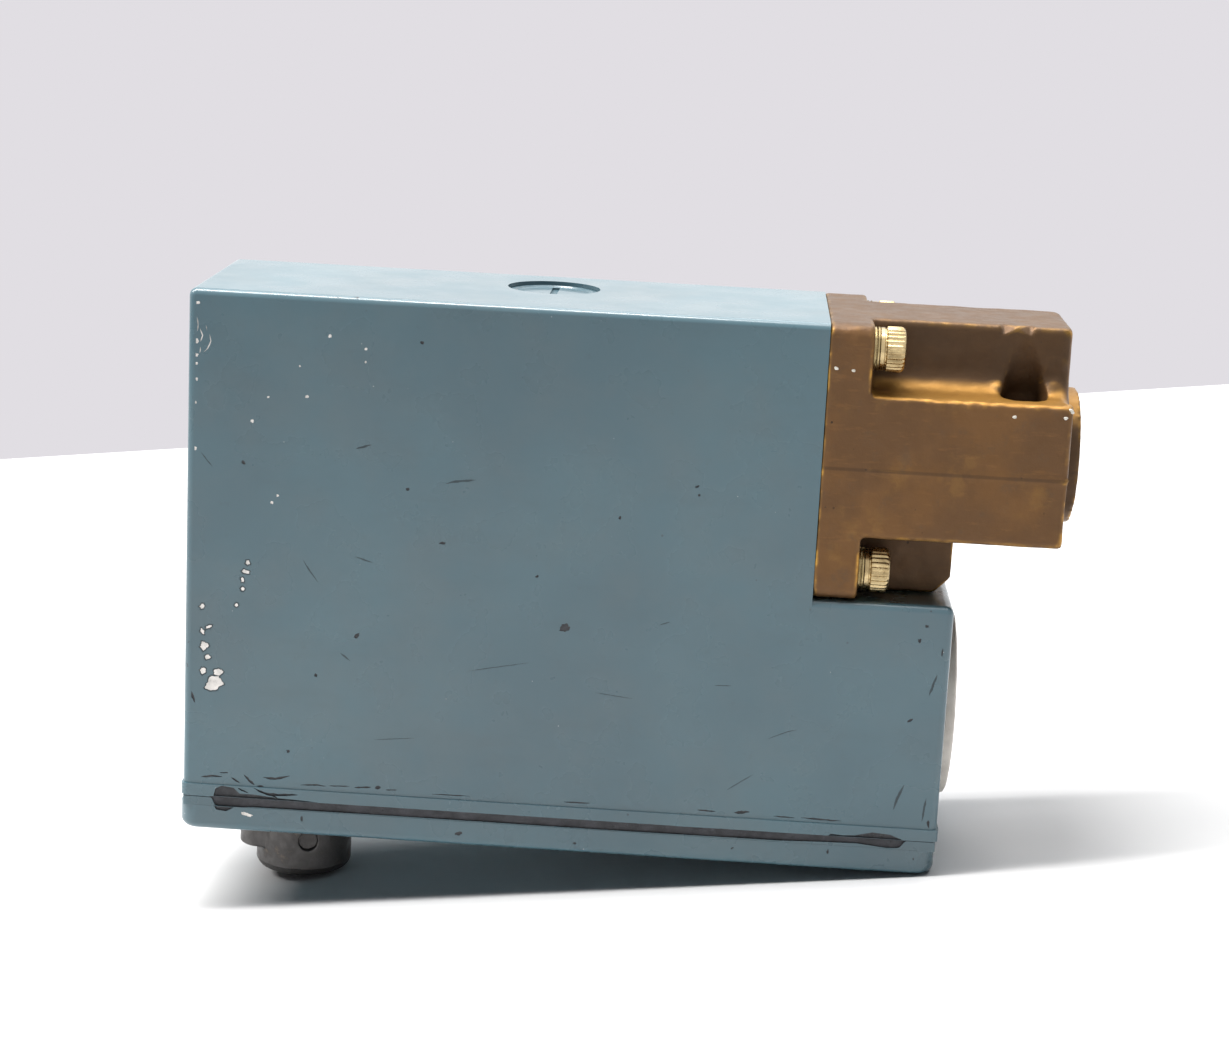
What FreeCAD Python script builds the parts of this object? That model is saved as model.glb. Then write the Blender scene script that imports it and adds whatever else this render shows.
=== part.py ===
import FreeCAD, Part
import math
import os
import re
import Sketcher
from FreeCAD import Placement, Rotation, Vector

# Pressure switch. Every size below is in millimetres. Places are read from the housing's left end (x), its
# near face (y) and its top face (z, negative going down). Each sub-part's Placement then carries it to the
# part's own frame, whose origin is the centre of the pressure port's mouth, with +X out of the port.

SIZES = {
    # housing
    "lower_length": 120, "upper_length": 98, "width": 37, "upper_height": 43.1, "housing_height": 81.2,
    "wall": 3.5, "end_wall": 9, "casting_round": 1.2, "band_height": 1.9, "band_proud": 0.25,
    "column_radius": 4, "column_inset": 7, "column_height": 7.2, "boss_radius": 4.5, "pillar_radius": 3.5,
    "boss_margin": 3, "root": 0.5, "past": 1,
    # gasket and cover
    "gasket_thick": 1.7, "gasket_rim": 4.5, "cover_thick": 4.2, "cover_overhang": 0.6,
    "cover_corner": 3, "cover_round": 1.5, "seal_recess": 2,
    # M3 and M2.5 screws: body, tapped and clearance holes, head
    "small_body": 1.45, "small_tapped": 1.5, "small_clear": 1.6, "small_head": 2.75, "small_head_height": 2,
    "small_sink": 3.1, "small_sink_depth": 2.2, "tiny_body": 1.2, "tiny_tapped": 1.25, "tiny_clear": 1.3,
    "tiny_head": 2.3, "tiny_head_height": 1.6, "tiny_sink": 2.6, "tiny_sink_depth": 3,
    # brass port block and its pressure passage
    "flange_thick": 6.8, "block_height": 43, "block_end": 135.6, "ledge_drop": 10.65, "ledge_bottom": 32.9,
    "rib_inset": 8.5, "rib_fillet": 4, "block_round": 0.9, "flange_round": 2.1, "rib_end_round": 1.5,
    "lower_rib_end": 119.7, "lower_rib_bevel": 2.5, "boss_round": 0.6,
    "port_x": 138.1, "port_drop": 21.5, "port_boss_radius": 10.75, "port_radius": 5.7225, "port_depth": 14,
    "channel_radius": 2, "chamber_end": 111, "mount_x": 128.5, "mount_inset": 6.9, "mount_radius": 3.6,
    "relief_top": 1.3, "relief_inset": 4.9,
    # M4 cap screws of the block
    "screw_inset": 4.3, "screw_drop": 4, "screw_drop_low": 38.7, "thread_radius": 1.95, "tapped_radius": 2,
    "clear_radius": 2.25, "head_radius": 3.5, "head_height": 4, "socket_flats": 3, "socket_depth": 2,
    "washer_radius": 3.4, "washer_bore": 2.15, "washer_thick": 0.9, "washer_split": 0.8, "thread_end": 91.7,
    # piston and push rod
    "piston_bore": 6, "piston_radius": 5.97, "piston_start": 98.3, "piston_length": 9.2,
    "groove_start": 101.5, "groove_width": 2.8, "groove_radius": 4.15, "seal_section": 0.9,
    "rod_radius": 2.5, "rod_tip": 82.05, "running_gap": 0.05,
    # bell crank lever
    "pivot_x": 80, "pivot_drop": 41.5, "stud_radius": 2.5, "stud_end": 2, "clip_near": 1.15,
    "clip_thick": 0.7, "clip_overlap": 0.55, "clip_width": 1.5, "clip_mouth": 1.4, "groove_depth": 0.6,
    "hub_radius": 5, "fit_gap": 0.03, "arm_thick": 4, "arm_near": 14, "arm_far": 25, "arm_end": 8.6,
    "crank_top": 17, "hub_gap": 0.2,
    # mechanism plate
    "plate_near": 27.2, "plate_far": 29.2, "plate_left": 11.3, "plate_right": 88, "plate_top": 28,
    "plate_bottom": 77, "foot_top": 73, "foot_thick": 2, "foot_near": 9, "foot_right": 25,
    "plate_hole_left": 6, "plate_hole_middle": 22, "plate_hole_drop": 5, "plate_screw_end": 0.3,
    # setpoint spindle, nut and range spring
    "knob_x": 16.8, "spindle_top": 50, "spindle_thread": 4, "spindle_radius": 3, "collar_top": 71,
    "collar_radius": 6, "nut_top": 63, "nut_thick": 3.5, "nut_half": 7.5, "nut_near": 9.5,
    "nut_far": 27.1, "nut_hub": 4.8, "nut_hub_height": 3.5, "spring_top": 45.2, "coil_radius": 6,
    "spring_wire": 1, "spring_turns": 5.5, "cup_radius": 8.2, "cup_bore": 7.4, "cup_height": 3.8,
    "cup_ceiling": 0.8, "collar_gap": 0.05, "spindle_clip_gap": 0.3, "spindle_clip_width": 2,
    "spindle_clip_mouth": 1.8, "spindle_seal_section": 0.95,
    # knob
    "knob_radius": 7.85, "knob_top": 87.4, "knob_bottom": 98.5, "knob_round": 1.3, "nose_radius": 4.1,
    "nose_centre": 6.5, "nose_bottom": 94.2, "grub_drop": 92, "grub_radius": 1.5, "grub_recess": 0.9,
    "knob_web": 3, "knob_gap": 0.1, "knob_turn": 14,
    # microswitch
    "switch_x": 54.3, "switch_y": 22.05, "switch_half": 13.9, "switch_near": 16.9, "switch_top": 51,
    "switch_height": 15.9, "plunger_radius": 1.5, "plunger_top": 49.6, "plunger_bottom": 53.3,
    "switch_hole_x": 11.1, "switch_hole_low": 13.1, "switch_hole_high": 2.8,
    "blade_pitch": 11.1, "blade_half": 3.15, "blade_thick": 0.8, "blade_bottom": 74,
    "trip_top": 35, "trip_tip": 49.55, "trip_slot": 0.4, "trip_slot_depth": 1.2, "trip_gap": 0.02,
    "lock_flats": 7, "lock_height": 3.2,
    # terminal block and wires
    "block_left": 90, "block_right": 108, "block_near": 4.5, "block_top": 60, "block_bottom": 72,
    "pole_pitch": 6, "cage_left": 95, "cage_right": 103, "cage_half": 2.4, "cage_gap": 0.1, "cage_roof": 2,
    "cage_foot": 2.2, "cage_bore": 1.7, "clamp_sink": 0.6, "clamp_head": 2.2, "clamp_head_height": 1.5,
    "clamp_body": 1.4, "clamp_slot": 0.3, "funnel_radius": 1.2, "wire_radius": 0.7, "wire_entry": 65.5,
    "terminal_x": 99, "ear_inset": 7.5, "pillar_hole": 7,
    # the wires' lanes along the near wall, and where they turn towards the terminal block
    "wire_above_tip": 2.5, "lane_y": 10, "lane_pitch": 2.5, "lane_end": 74, "turn_end": 84, "wire_end": 98,
    # closures
    "access_x": 54.3, "access_y": 22.9, "access_radius": 7.4, "access_depth": 2.1, "access_thread": 5,
    "access_boss": 6, "access_face": 0.55, "access_seal": 0.5, "access_slot": 0.8, "access_slot_half": 5,
    "access_slot_depth": 0.65, "plug_gap": 0.03,
    "entry_drop": 63.3, "entry_radius": 10, "entry_head": 15, "entry_head_thick": 1.8, "entry_seat": 1.6,
    "entry_seal_radius": 10.85, "entry_seal_section": 0.8, "entry_plug_depth": 8, "entry_hollow": 7.5,
    "entry_floor": 1.5, "entry_slot": 1, "entry_slot_half": 9, "entry_slot_depth": 1,
    # earth screw
    "earth_x": 32, "earth_y": 8, "earth_face": 70, "earth_boss_half": 4.5, "earth_boss_height": 20,
    "earth_head": 4, "earth_head_height": 2.8, "earth_washer": 4.4, "earth_slot": 0.5,
    "earth_slot_depth": 1.4,
}

# How each axis goes from the housing's datum to the part's own frame.
DATUM = {"x": "- port_x", "y": "- width / 2", "z": "+ port_drop"}
ALONG = {"x": Rotation(Vector(0, 1, 0), 90), "y": Rotation(Vector(1, 0, 0), -90), "z": Rotation()}
TOUCH = 1e-6

doc = FreeCAD.newDocument("pressure_switch")
sheet = doc.addObject("Spreadsheet::Sheet", "Sizes")
for row, (alias, size) in enumerate(SIZES.items(), start=1):
    sheet.set(f"A{row}", alias)
    sheet.set(f"B{row}", str(size))
    sheet.setAlias(f"B{row}", alias)
doc.recompute()

subparts = []
pockets = []


# ---------------------------------------------------------------- helpers

def formula(text):
    """Writes each size's name as a reference to its cell."""
    return re.sub(r"[a-z_]+", lambda word: "Sizes." + word[0] if word[0] in SIZES else word[0], str(text))


def bind(owner, name, text):
    owner.setExpression(name, formula(text))


def put(owner, **place):
    """Binds a Placement to a place read from the housing's datum."""
    for axis, text in place.items():
        bind(owner, "Placement.Base." + axis, f"({text}) {DATUM[axis]}")


def keep(owner, label):
    """Makes an object a sub-part, with the Label that names its file."""
    owner.Label = label
    subparts.append(owner)
    return owner


def box(x, y, z):
    """A block between pairs of formulas, low then high, on each axis."""
    block = doc.addObject("Part::Box", "Block")
    for side, axis, (low, high) in (("Length", "x", x), ("Width", "y", y), ("Height", "z", z)):
        bind(block, side, f"({high}) - ({low})")
        put(block, **{axis: low})
    return block


def rod(axis, radius, low, high, **centre):
    """A cylinder along an axis from low to high."""
    bar = doc.addObject("Part::Cylinder", "Rod")
    bar.Placement = Placement(Vector(), ALONG[axis])
    bind(bar, "Radius", radius)
    bind(bar, "Height", f"({high}) - ({low})")
    put(bar, **{axis: low}, **centre)
    return bar


def ring(axis, radius, section, **centre):
    """An O-ring about an axis."""
    torus = doc.addObject("Part::Torus", "Ring")
    torus.Placement = Placement(Vector(), ALONG[axis])
    bind(torus, "Radius1", radius)
    bind(torus, "Radius2", section)
    put(torus, **centre)
    return torus


def hexagon(axis, across_flats, low, high, **centre):
    """A six-sided prism along an axis."""
    prism = doc.addObject("Part::Prism", "Hexagon")
    prism.Polygon = 6
    prism.Placement = Placement(Vector(), ALONG[axis])
    bind(prism, "Circumradius", f"({across_flats}) / 2 / cos(30 deg)")
    bind(prism, "Height", f"({high}) - ({low})")
    put(prism, **{axis: low}, **centre)
    return prism


def fuse(*shapes):
    union = doc.addObject("Part::MultiFuse", "Union")
    union.Shapes = list(shapes)
    union.Refine = True
    return union


def cut(base, *tools):
    difference = doc.addObject("Part::Cut", "Difference")
    difference.Base = base
    difference.Tool = tools[0] if len(tools) == 1 else fuse(*tools)
    return difference


def group(shapes):
    compound = doc.addObject("Part::Compound", "Group")
    compound.Links = list(shapes)
    return compound


def washer(axis, outer, inner, low, high, **centre):
    return cut(rod(axis, outer, low, high, **centre),
               rod(axis, inner, f"({low}) - past", f"({high}) + past", **centre))


# ---------------------------------------------------------------- helpers for PartDesign bodies

def polygon(*corners):
    """A closed outline through (across, up) pairs of formulas."""
    def draw(sketch):
        count = len(corners)
        spots = [Vector(60, 0, 0), Vector(40, 40, 0), Vector(0, 60, 0), Vector(-40, 40, 0),
                 Vector(-60, 0, 0), Vector(-40, -40, 0), Vector(0, -60, 0), Vector(40, -40, 0)][:count]
        lines = [sketch.addGeometry(Part.LineSegment(spot, spots[(index + 1) % count]))
                 for index, spot in enumerate(spots)]
        for index, line in enumerate(lines):
            follower = lines[(index + 1) % count]
            sketch.addConstraint(Sketcher.Constraint("Coincident", line, 2, follower, 1))
        for line, spot, (across, up) in zip(lines, spots, corners):
            for kind, start, text in (("DistanceX", spot.x, across), ("DistanceY", spot.y, up)):
                number = sketch.addConstraint(Sketcher.Constraint(kind, -1, 1, line, 1, start))
                bind(sketch, f"Constraints[{number}]", text)
    return draw


def rectangle(left, right, low, high):
    return polygon((left, low), (right, low), (right, high), (left, high))


def circle(across, up, radius):
    def draw(sketch):
        disc = sketch.addGeometry(Part.Circle(Vector(10, 10, 0), Vector(0, 0, 1), 2))
        for kind, text in (("DistanceX", across), ("DistanceY", up)):
            number = sketch.addConstraint(Sketcher.Constraint(kind, -1, 1, disc, 3, 10.0))
            bind(sketch, f"Constraints[{number}]", text)
        number = sketch.addConstraint(Sketcher.Constraint("Radius", disc, 2.0))
        bind(sketch, f"Constraints[{number}]", radius)
    return draw


def new_body(label):
    body = doc.addObject("PartDesign::Body", label)
    put(body, x="0", y="0", z="0")
    return keep(body, label)


def extrude(body, kind, plane, low, high, loops):
    """Adds or removes the outlines' prism between low and high along the plane's axis."""
    sketch = body.newObject("Sketcher::SketchObject", "Sketch")
    origin = next(item for item in body.Origin.OriginFeatures if item.Role == plane + "_Plane")
    sketch.AttachmentSupport = [(origin, "")]
    sketch.MapMode = "FlatFace"
    bind(sketch, "AttachmentOffset.Base.z", f"-({low})" if plane == "XZ" else low)
    for draw in loops:
        draw(sketch)
    feature = body.newObject("PartDesign::" + kind, kind)
    feature.Profile = sketch
    bind(feature, "Length", f"({high}) - ({low})")
    # The XZ plane's normal points along -Y, and a pocket runs against its sketch's normal.
    feature.Reversed = (plane == "XZ") == (kind == "Pad")
    return feature


def grow(body, plane, low, high, *loops):
    return extrude(body, "Pad", plane, low, high, loops)


def carve(body, plane, low, high, *loops):
    pocket = extrude(body, "Pocket", plane, low, high, loops)
    pockets.append(pocket)
    return pocket


def lean(body, *levels):
    """Removes the loft through outlines at heights, each level a (height, outline) pair."""
    sketches = []
    for height, draw in levels:
        sketch = body.newObject("Sketcher::SketchObject", "Sketch")
        origin = next(item for item in body.Origin.OriginFeatures if item.Role == "XY_Plane")
        sketch.AttachmentSupport = [(origin, "")]
        sketch.MapMode = "FlatFace"
        bind(sketch, "AttachmentOffset.Base.z", height)
        draw(sketch)
        sketches.append(sketch)
    loft = body.newObject("PartDesign::SubtractiveLoft", "Relief")
    loft.Profile = sketches[0]
    loft.Sections = sketches[1:]
    pockets.append(loft)


def soften(body, radius, chosen):
    """Rounds the edges of the body's last feature for which chosen(low, high) is true."""
    doc.recompute()
    base = body.Tip
    names = []
    for number, edge in enumerate(base.Shape.Edges, start=1):
        around = edge.BoundBox
        low = Vector(around.XMin, around.YMin, around.ZMin)
        high = Vector(around.XMax, around.YMax, around.ZMax)
        if chosen(low, high):
            names.append(f"Edge{number}")
    feature = body.newObject("PartDesign::Fillet", "Round")
    feature.Base = (base, names)
    bind(feature, "Radius", radius)


def near(value, *targets):
    return any(abs(value - target) < 1e-4 for target in targets)


def corner_spots(inset, right, far):
    """Four places inset from the left end and near face, and from right and far."""
    return [(x, y) for x in (inset, f"{right} - {inset}") for y in (inset, f"{far} - {inset}")]


COVER_SPOTS = corner_spots("column_inset", "lower_length", "width")
BLOCK_SCREW_SPOTS = [(y, z) for y in ("screw_inset", "width - screw_inset")
                     for z in ("-screw_drop", "-screw_drop_low")]
PLATE_SPOTS = [("plate_left + plate_hole_left", "-plate_top - plate_hole_drop"),
               ("plate_right - plate_hole_middle", "-plate_top - plate_hole_drop"),
               ("plate_right - plate_hole_left", "-plate_bottom + plate_hole_drop")]
SWITCH_SPOTS = [("switch_x - switch_hole_x", "-switch_top - switch_hole_low"),
                ("switch_x + switch_hole_x", "-switch_top - switch_hole_high")]
EAR_SPOTS = [("terminal_x", "ear_inset"), ("terminal_x", "width - ear_inset")]
POLES = (-1, 0, 1)
MIDDLE = "width / 2"
ARC_SHARE = 0.45


# ---------------------------------------------------------------- casings

def build_housing():
    """L-shaped casting, open below, with bosses for what it carries."""
    body = new_body("housing")
    grow(body, "XZ", "0", "width",
         polygon(("0", "0"), ("upper_length", "0"), ("upper_length", "-upper_height"),
                 ("lower_length", "-upper_height"), ("lower_length", "-housing_height"),
                 ("0", "-housing_height")))
    width, bottom, joint = SIZES["width"], -SIZES["housing_height"], SIZES["upper_length"]

    def outer(low, high):
        on_bottom = near(high.z, bottom)
        on_joint = near(low.x, joint) and near(high.x, joint)
        step_corner = near(low.z, high.z) and near(high.z, -SIZES["upper_height"]) and near(high.x, joint)
        return not (on_bottom or on_joint or step_corner)
    soften(body, "casting_round", outer)
    grow(body, "XY", "-housing_height", "-housing_height + band_height",
         rectangle("-band_proud", "lower_length + band_proud", "-band_proud", "width + band_proud"))
    carve(body, "XZ", "wall", "width - wall",
          polygon(("wall", "-wall"), ("upper_length - end_wall", "-wall"),
                  ("upper_length - end_wall", "-upper_height - wall"),
                  ("lower_length - wall", "-upper_height - wall"),
                  ("lower_length - wall", "-housing_height - past"), ("wall", "-housing_height - past")))
    grow(body, "XY", "-housing_height", "-housing_height + column_height",
         *[circle(x, y, "column_radius") for x, y in COVER_SPOTS])
    grow(body, "XZ", "plate_far", "width - wall + root",
         *[circle(x, z, "boss_radius") for x, z in PLATE_SPOTS])
    grow(body, "XY", "-access_depth - access_boss", "-access_depth",
         circle("access_x", "access_y", "access_thread + boss_margin"))
    grow(body, "YZ", "lower_length - entry_radius + past", "lower_length - past",
         circle(MIDDLE, "-entry_drop", "entry_radius + boss_margin"))
    grow(body, "XY", "-block_top", "-upper_height - wall + root",
         *[circle(x, y, "pillar_radius") for x, y in EAR_SPOTS])
    grow(body, "XY", "-earth_face", "-earth_face + earth_boss_height",
         rectangle("earth_x - earth_boss_half", "earth_x + earth_boss_half",
                   "wall - root", "earth_y + earth_boss_half"))
    carve(body, "YZ", "upper_length - end_wall - past", "upper_length + past",
          circle(MIDDLE, "-port_drop", "rod_radius + running_gap"))
    carve(body, "YZ", "thread_end - past", "upper_length + past",
          *[circle(y, z, "tapped_radius") for y, z in BLOCK_SCREW_SPOTS])
    carve(body, "XY", "-access_depth", "past", circle("access_x", "access_y", "access_radius"))
    carve(body, "XY", "-access_depth - access_boss - past", "past",
          circle("access_x", "access_y", "access_thread"))
    carve(body, "YZ", "lower_length - entry_radius - past", "lower_length + past",
          circle(MIDDLE, "-entry_drop", "entry_radius"))
    carve(body, "YZ", "lower_length - entry_seat", "lower_length + past",
          circle(MIDDLE, "-entry_drop", "entry_seal_radius + entry_seal_section + running_gap"))
    carve(body, "XY", "-housing_height - past", "-housing_height + column_height - small_tapped",
          *[circle(x, y, "small_tapped") for x, y in COVER_SPOTS])
    carve(body, "XZ", "plate_far - past", "width - wall + plate_screw_end + root",
          *[circle(x, z, "small_tapped") for x, z in PLATE_SPOTS])
    carve(body, "XY", "-block_top - past", "-block_top + pillar_hole",
          *[circle(x, y, "tiny_tapped") for x, y in EAR_SPOTS])
    carve(body, "XY", "-earth_face - past", "-earth_face + pillar_hole + seal_recess",
          circle("earth_x", "earth_y", "tapped_radius"))


def build_gasket():
    """Flat cover gasket with an ear round each cover screw."""
    body = new_body("cover_gasket")
    span = ("-housing_height - gasket_thick", "-housing_height")
    grow(body, "XY", *span, rectangle("0", "lower_length", "0", "width"))
    carve(body, "XY", *span, rectangle("gasket_rim", "lower_length - gasket_rim",
                                       "gasket_rim", "width - gasket_rim"))
    grow(body, "XY", *span, *[circle(x, y, "column_radius") for x, y in COVER_SPOTS])
    carve(body, "XY", *span, *[circle(x, y, "small_clear") for x, y in COVER_SPOTS])


def build_cover():
    """Flat cast cover with the spindle's hole and seal recess."""
    body = new_body("cover")
    low, high = "-housing_height - gasket_thick - cover_thick", "-housing_height - gasket_thick"
    grow(body, "XY", low, high, rectangle("-cover_overhang", "lower_length", "0", "width"))
    bottom = -SIZES["housing_height"] - SIZES["gasket_thick"] - SIZES["cover_thick"]
    soften(body, "cover_corner", lambda start, end: end.z - start.z > SIZES["cover_round"])
    soften(body, "cover_round", lambda start, end: near(start.z, bottom) and near(end.z, bottom))
    carve(body, "XY", low + " - past", high + " + past",
          circle("knob_x", MIDDLE, "spindle_radius + running_gap"),
          *[circle(x, y, "small_clear") for x, y in COVER_SPOTS])
    carve(body, "XY", high + " - seal_recess", high + " + past",
          circle("knob_x", MIDDLE, "spindle_radius + seal_recess"))
    carve(body, "XY", low + " - past", low + " + small_sink_depth",
          *[circle(x, y, "small_sink") for x, y in COVER_SPOTS])


def build_cover_screws():
    """M3 cheese-head screws, sunk in the cover."""
    seat = "-housing_height - gasket_thick - cover_thick + small_sink_depth"
    keep(group([fuse(rod("z", "small_head", seat + " - small_head_height", seat, x=x, y=y),
                     rod("z", "small_body", seat, "-housing_height + column_height - small_sink_depth",
                         x=x, y=y))
                for x, y in COVER_SPOTS]), "cover_screws")


# ---------------------------------------------------------------- port block

def build_port_block():
    """Forged brass block: flange, cross boss, ribs above and below, and the passage to the piston."""
    body = new_body("port_block")
    face, flange = "upper_length", "upper_length + flange_thick"
    grow(body, "YZ", face, flange, rectangle("0", "width", "-block_height", "0"))
    grow(body, "YZ", flange, "block_end", rectangle("0", "width", "-ledge_bottom", "-ledge_drop"))
    grow(body, "YZ", flange, "block_end",
         rectangle("rib_inset", "width - rib_inset", "-ledge_drop - past", "0"))
    grow(body, "XZ", "rib_inset", "width - rib_inset",
         polygon((flange, "-ledge_bottom + past"), ("lower_rib_end", "-ledge_bottom + past"),
                 ("lower_rib_end", "-block_height + lower_rib_bevel"),
                 ("lower_rib_end - lower_rib_bevel", "-block_height"), (flange, "-block_height")))
    inset, far = SIZES["rib_inset"], SIZES["width"] - SIZES["rib_inset"]
    ledge, width, end = -SIZES["ledge_drop"], SIZES["width"], SIZES["block_end"]
    joint, bottom = SIZES["upper_length"], -SIZES["block_height"]
    boss_near = (width / 2 - SIZES["port_boss_radius"], width / 2 + SIZES["port_boss_radius"])
    soften(body, "rib_fillet",
           lambda low, high: near(low.z, ledge) and near(high.z, ledge) and near(low.y, inset, far)
           and near(high.y, inset, far))
    soften(body, "rib_end_round",
           lambda low, high: near(low.x, end) and near(high.x, end) and near(high.z, 0)
           and near(low.y, high.y))
    soften(body, "flange_round",
           lambda low, high: near(low.y, high.y) and near(low.z, high.z) and near(low.y, 0, width)
           and near(low.z, 0, bottom) and near(low.x, joint))
    soften(body, "block_round",
           lambda low, high: near(low.y, high.y) and near(low.z, high.z)
           and (near(low.y, 0, width) and near(low.z, ledge, -SIZES["ledge_bottom"])
                or near(low.y, inset, far) and near(low.z, 0)))
    grow(body, "YZ", "block_end - past", "port_x", circle(MIDDLE, "-port_drop", "port_boss_radius"))
    soften(body, "boss_round",
           lambda low, high: near(low.x, end) and near(high.x, end) and not (near(low.y, *boss_near)
                                                                             or near(high.y, *boss_near)))
    carve(body, "YZ", face + " - past", flange + " + past",
          *[circle(y, z, "clear_radius") for y, z in BLOCK_SCREW_SPOTS])
    carve(body, "YZ", face + " - past", "chamber_end", circle(MIDDLE, "-port_drop", "piston_bore"))
    carve(body, "YZ", "chamber_end - past", "port_x", circle(MIDDLE, "-port_drop", "channel_radius"))
    carve(body, "YZ", "port_x - port_depth", "port_x + past", circle(MIDDLE, "-port_drop", "port_radius"))
    carve(body, "XY", "-ledge_bottom - past", "-ledge_drop",
          *[circle("mount_x", y, "mount_radius") for y in ("mount_inset", "width - mount_inset")])
    for foot, top in (("mount_inset", "relief_inset"), ("width - mount_inset", "width - relief_inset")):
        lean(body, ("-ledge_drop", circle("mount_x", foot, "mount_radius")),
             ("-relief_top", circle("mount_x", top, "mount_radius")))


def build_block_screws():
    """M4 socket-head cap screws, each over a split spring washer."""
    seat = "upper_length + flange_thick"
    head, end = f"{seat} + washer_thick", f"{seat} + washer_thick + head_height"
    screws, washers = [], []
    for y, z in BLOCK_SCREW_SPOTS:
        screws.append(cut(fuse(rod("x", "head_radius", head, end, y=y, z=z),
                               rod("x", "thread_radius", "thread_end", head, y=y, z=z)),
                          hexagon("x", "socket_flats", end + " - socket_depth", end + " + past", y=y, z=z)))
        washers.append(cut(rod("x", "washer_radius", seat, head, y=y, z=z),
                           rod("x", "washer_bore", seat + " - past", head + " + past", y=y, z=z),
                           box((seat + " - past", head + " + past"),
                               (f"{y} - washer_split / 2", f"{y} + washer_split / 2"),
                               (z, f"{z} + washer_radius + past"))))
    keep(group(screws), "port_block_screws")
    keep(group(washers), "port_block_spring_washers")


def build_piston():
    """Piston with a seal groove, its O-ring and the push rod that it moves."""
    centre = {"y": MIDDLE, "z": "-port_drop"}
    keep(fuse(rod("x", "piston_radius", "piston_start", "groove_start", **centre),
              rod("x", "groove_radius", "groove_start - root", "groove_start + groove_width + root",
                  **centre),
              rod("x", "piston_radius", "groove_start + groove_width", "piston_start + piston_length",
                  **centre)), "piston")
    keep(ring("x", "piston_radius - seal_section", "seal_section",
              x="groove_start + groove_width / 2", **centre), "piston_seal")
    tip = doc.addObject("Part::Sphere", "Tip")
    bind(tip, "Radius", "rod_radius")
    put(tip, x="rod_tip + rod_radius", **centre)
    keep(fuse(tip, rod("x", "rod_radius", "rod_tip + rod_radius", "piston_start", **centre)), "push_rod")


# ---------------------------------------------------------------- mechanism

def build_mechanism_plate():
    """Steel plate on the far wall, with a folded foot that carries the spindle."""
    body = new_body("mechanism_plate")
    grow(body, "XZ", "plate_near", "plate_far",
         rectangle("plate_left", "plate_right", "-plate_bottom", "-plate_top"))
    grow(body, "XY", "-foot_top - foot_thick", "-foot_top",
         rectangle("plate_left", "foot_right", "foot_near", "plate_near + root"))
    carve(body, "XY", "-foot_top - foot_thick - past", "-foot_top + past",
          circle("knob_x", MIDDLE, "spindle_radius + running_gap"))
    carve(body, "XZ", "plate_near - past", "plate_far + past",
          circle("pivot_x", "-pivot_drop", "stud_radius"),
          *[circle(x, z, "small_clear") for x, z in PLATE_SPOTS + SWITCH_SPOTS])
    keep(group([fuse(rod("y", "small_head", "plate_near - small_head_height", "plate_near", x=x, z=z),
                     rod("y", "small_body", "plate_near", "width - wall + plate_screw_end", x=x, z=z))
                for x, z in PLATE_SPOTS]), "mechanism_screws")


def build_pivot():
    """Stud pressed in the plate, grooved for its clip."""
    centre = {"x": "pivot_x", "z": "-pivot_drop"}
    clip = ("arm_near - clip_near", "arm_near - clip_near + clip_thick")
    keep(fuse(rod("y", "stud_radius", "arm_near - stud_end", f"{clip[0]} - running_gap", **centre),
              rod("y", "stud_radius - groove_depth", "arm_near - stud_end + root", "arm_near", **centre),
              rod("y", "stud_radius", f"{clip[1]} + running_gap", "plate_far", **centre)), "pivot_stud")
    keep(cut(washer("y", "stud_radius + clip_width", "stud_radius - clip_overlap", *clip, **centre),
             box(("pivot_x - clip_mouth", "pivot_x + clip_mouth"), ("arm_near - stud_end", "arm_near"),
                 ("-pivot_drop - hub_radius - past", "-pivot_drop"))), "pivot_clip")


def build_lever():
    """Bell crank: a long arm over the spring and switch, and a short arm up to the push rod."""
    body = new_body("lever")
    top, bottom = "-pivot_drop + arm_thick / 2", "-pivot_drop - arm_thick / 2"
    left, right = "pivot_x - arm_thick / 2", "pivot_x + arm_thick / 2"
    grow(body, "XZ", "arm_near", "arm_far",
         polygon(("arm_end", top), (left, top), (left, "-crank_top"), (right, "-crank_top"),
                 (right, bottom), ("arm_end", bottom)))
    grow(body, "XZ", "arm_near", "plate_near - hub_gap", circle("pivot_x", "-pivot_drop", "hub_radius"))
    carve(body, "XZ", "arm_near - past", "plate_near + past",
          circle("pivot_x", "-pivot_drop", "stud_radius + fit_gap"))
    carve(body, "XY", bottom + " - past", top + " + past", circle("switch_x", "switch_y", "tapped_radius"),
          circle("knob_x", MIDDLE, "rod_radius"))
    keep(fuse(cut(rod("z", "cup_radius", bottom + " - cup_height", bottom, x="knob_x", y=MIDDLE),
                  rod("z", "cup_bore", bottom + " - cup_height - past", bottom + " - cup_ceiling",
                      x="knob_x", y=MIDDLE)),
              rod("z", "rod_radius", bottom, top, x="knob_x", y=MIDDLE)), "upper_spring_cup")


def build_trip_screw():
    """Adjusting screw through the lever, over the switch's plunger, with its lock nut."""
    centre = {"x": "switch_x", "y": "switch_y"}
    keep(cut(rod("z", "tapped_radius - trip_gap", "-trip_tip", "-trip_top", **centre),
             box(("switch_x - trip_slot", "switch_x + trip_slot"),
                 ("switch_y - tapped_radius - past", "switch_y + tapped_radius + past"),
                 ("-trip_top - trip_slot_depth", "-trip_top + past"))), "trip_screw")
    top = "-pivot_drop + arm_thick / 2"
    keep(cut(hexagon("z", "lock_flats", top, top + " + lock_height", **centre),
             rod("z", "tapped_radius", top + " - past", top + " + lock_height + past", **centre)),
         "trip_lock_nut")


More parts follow.
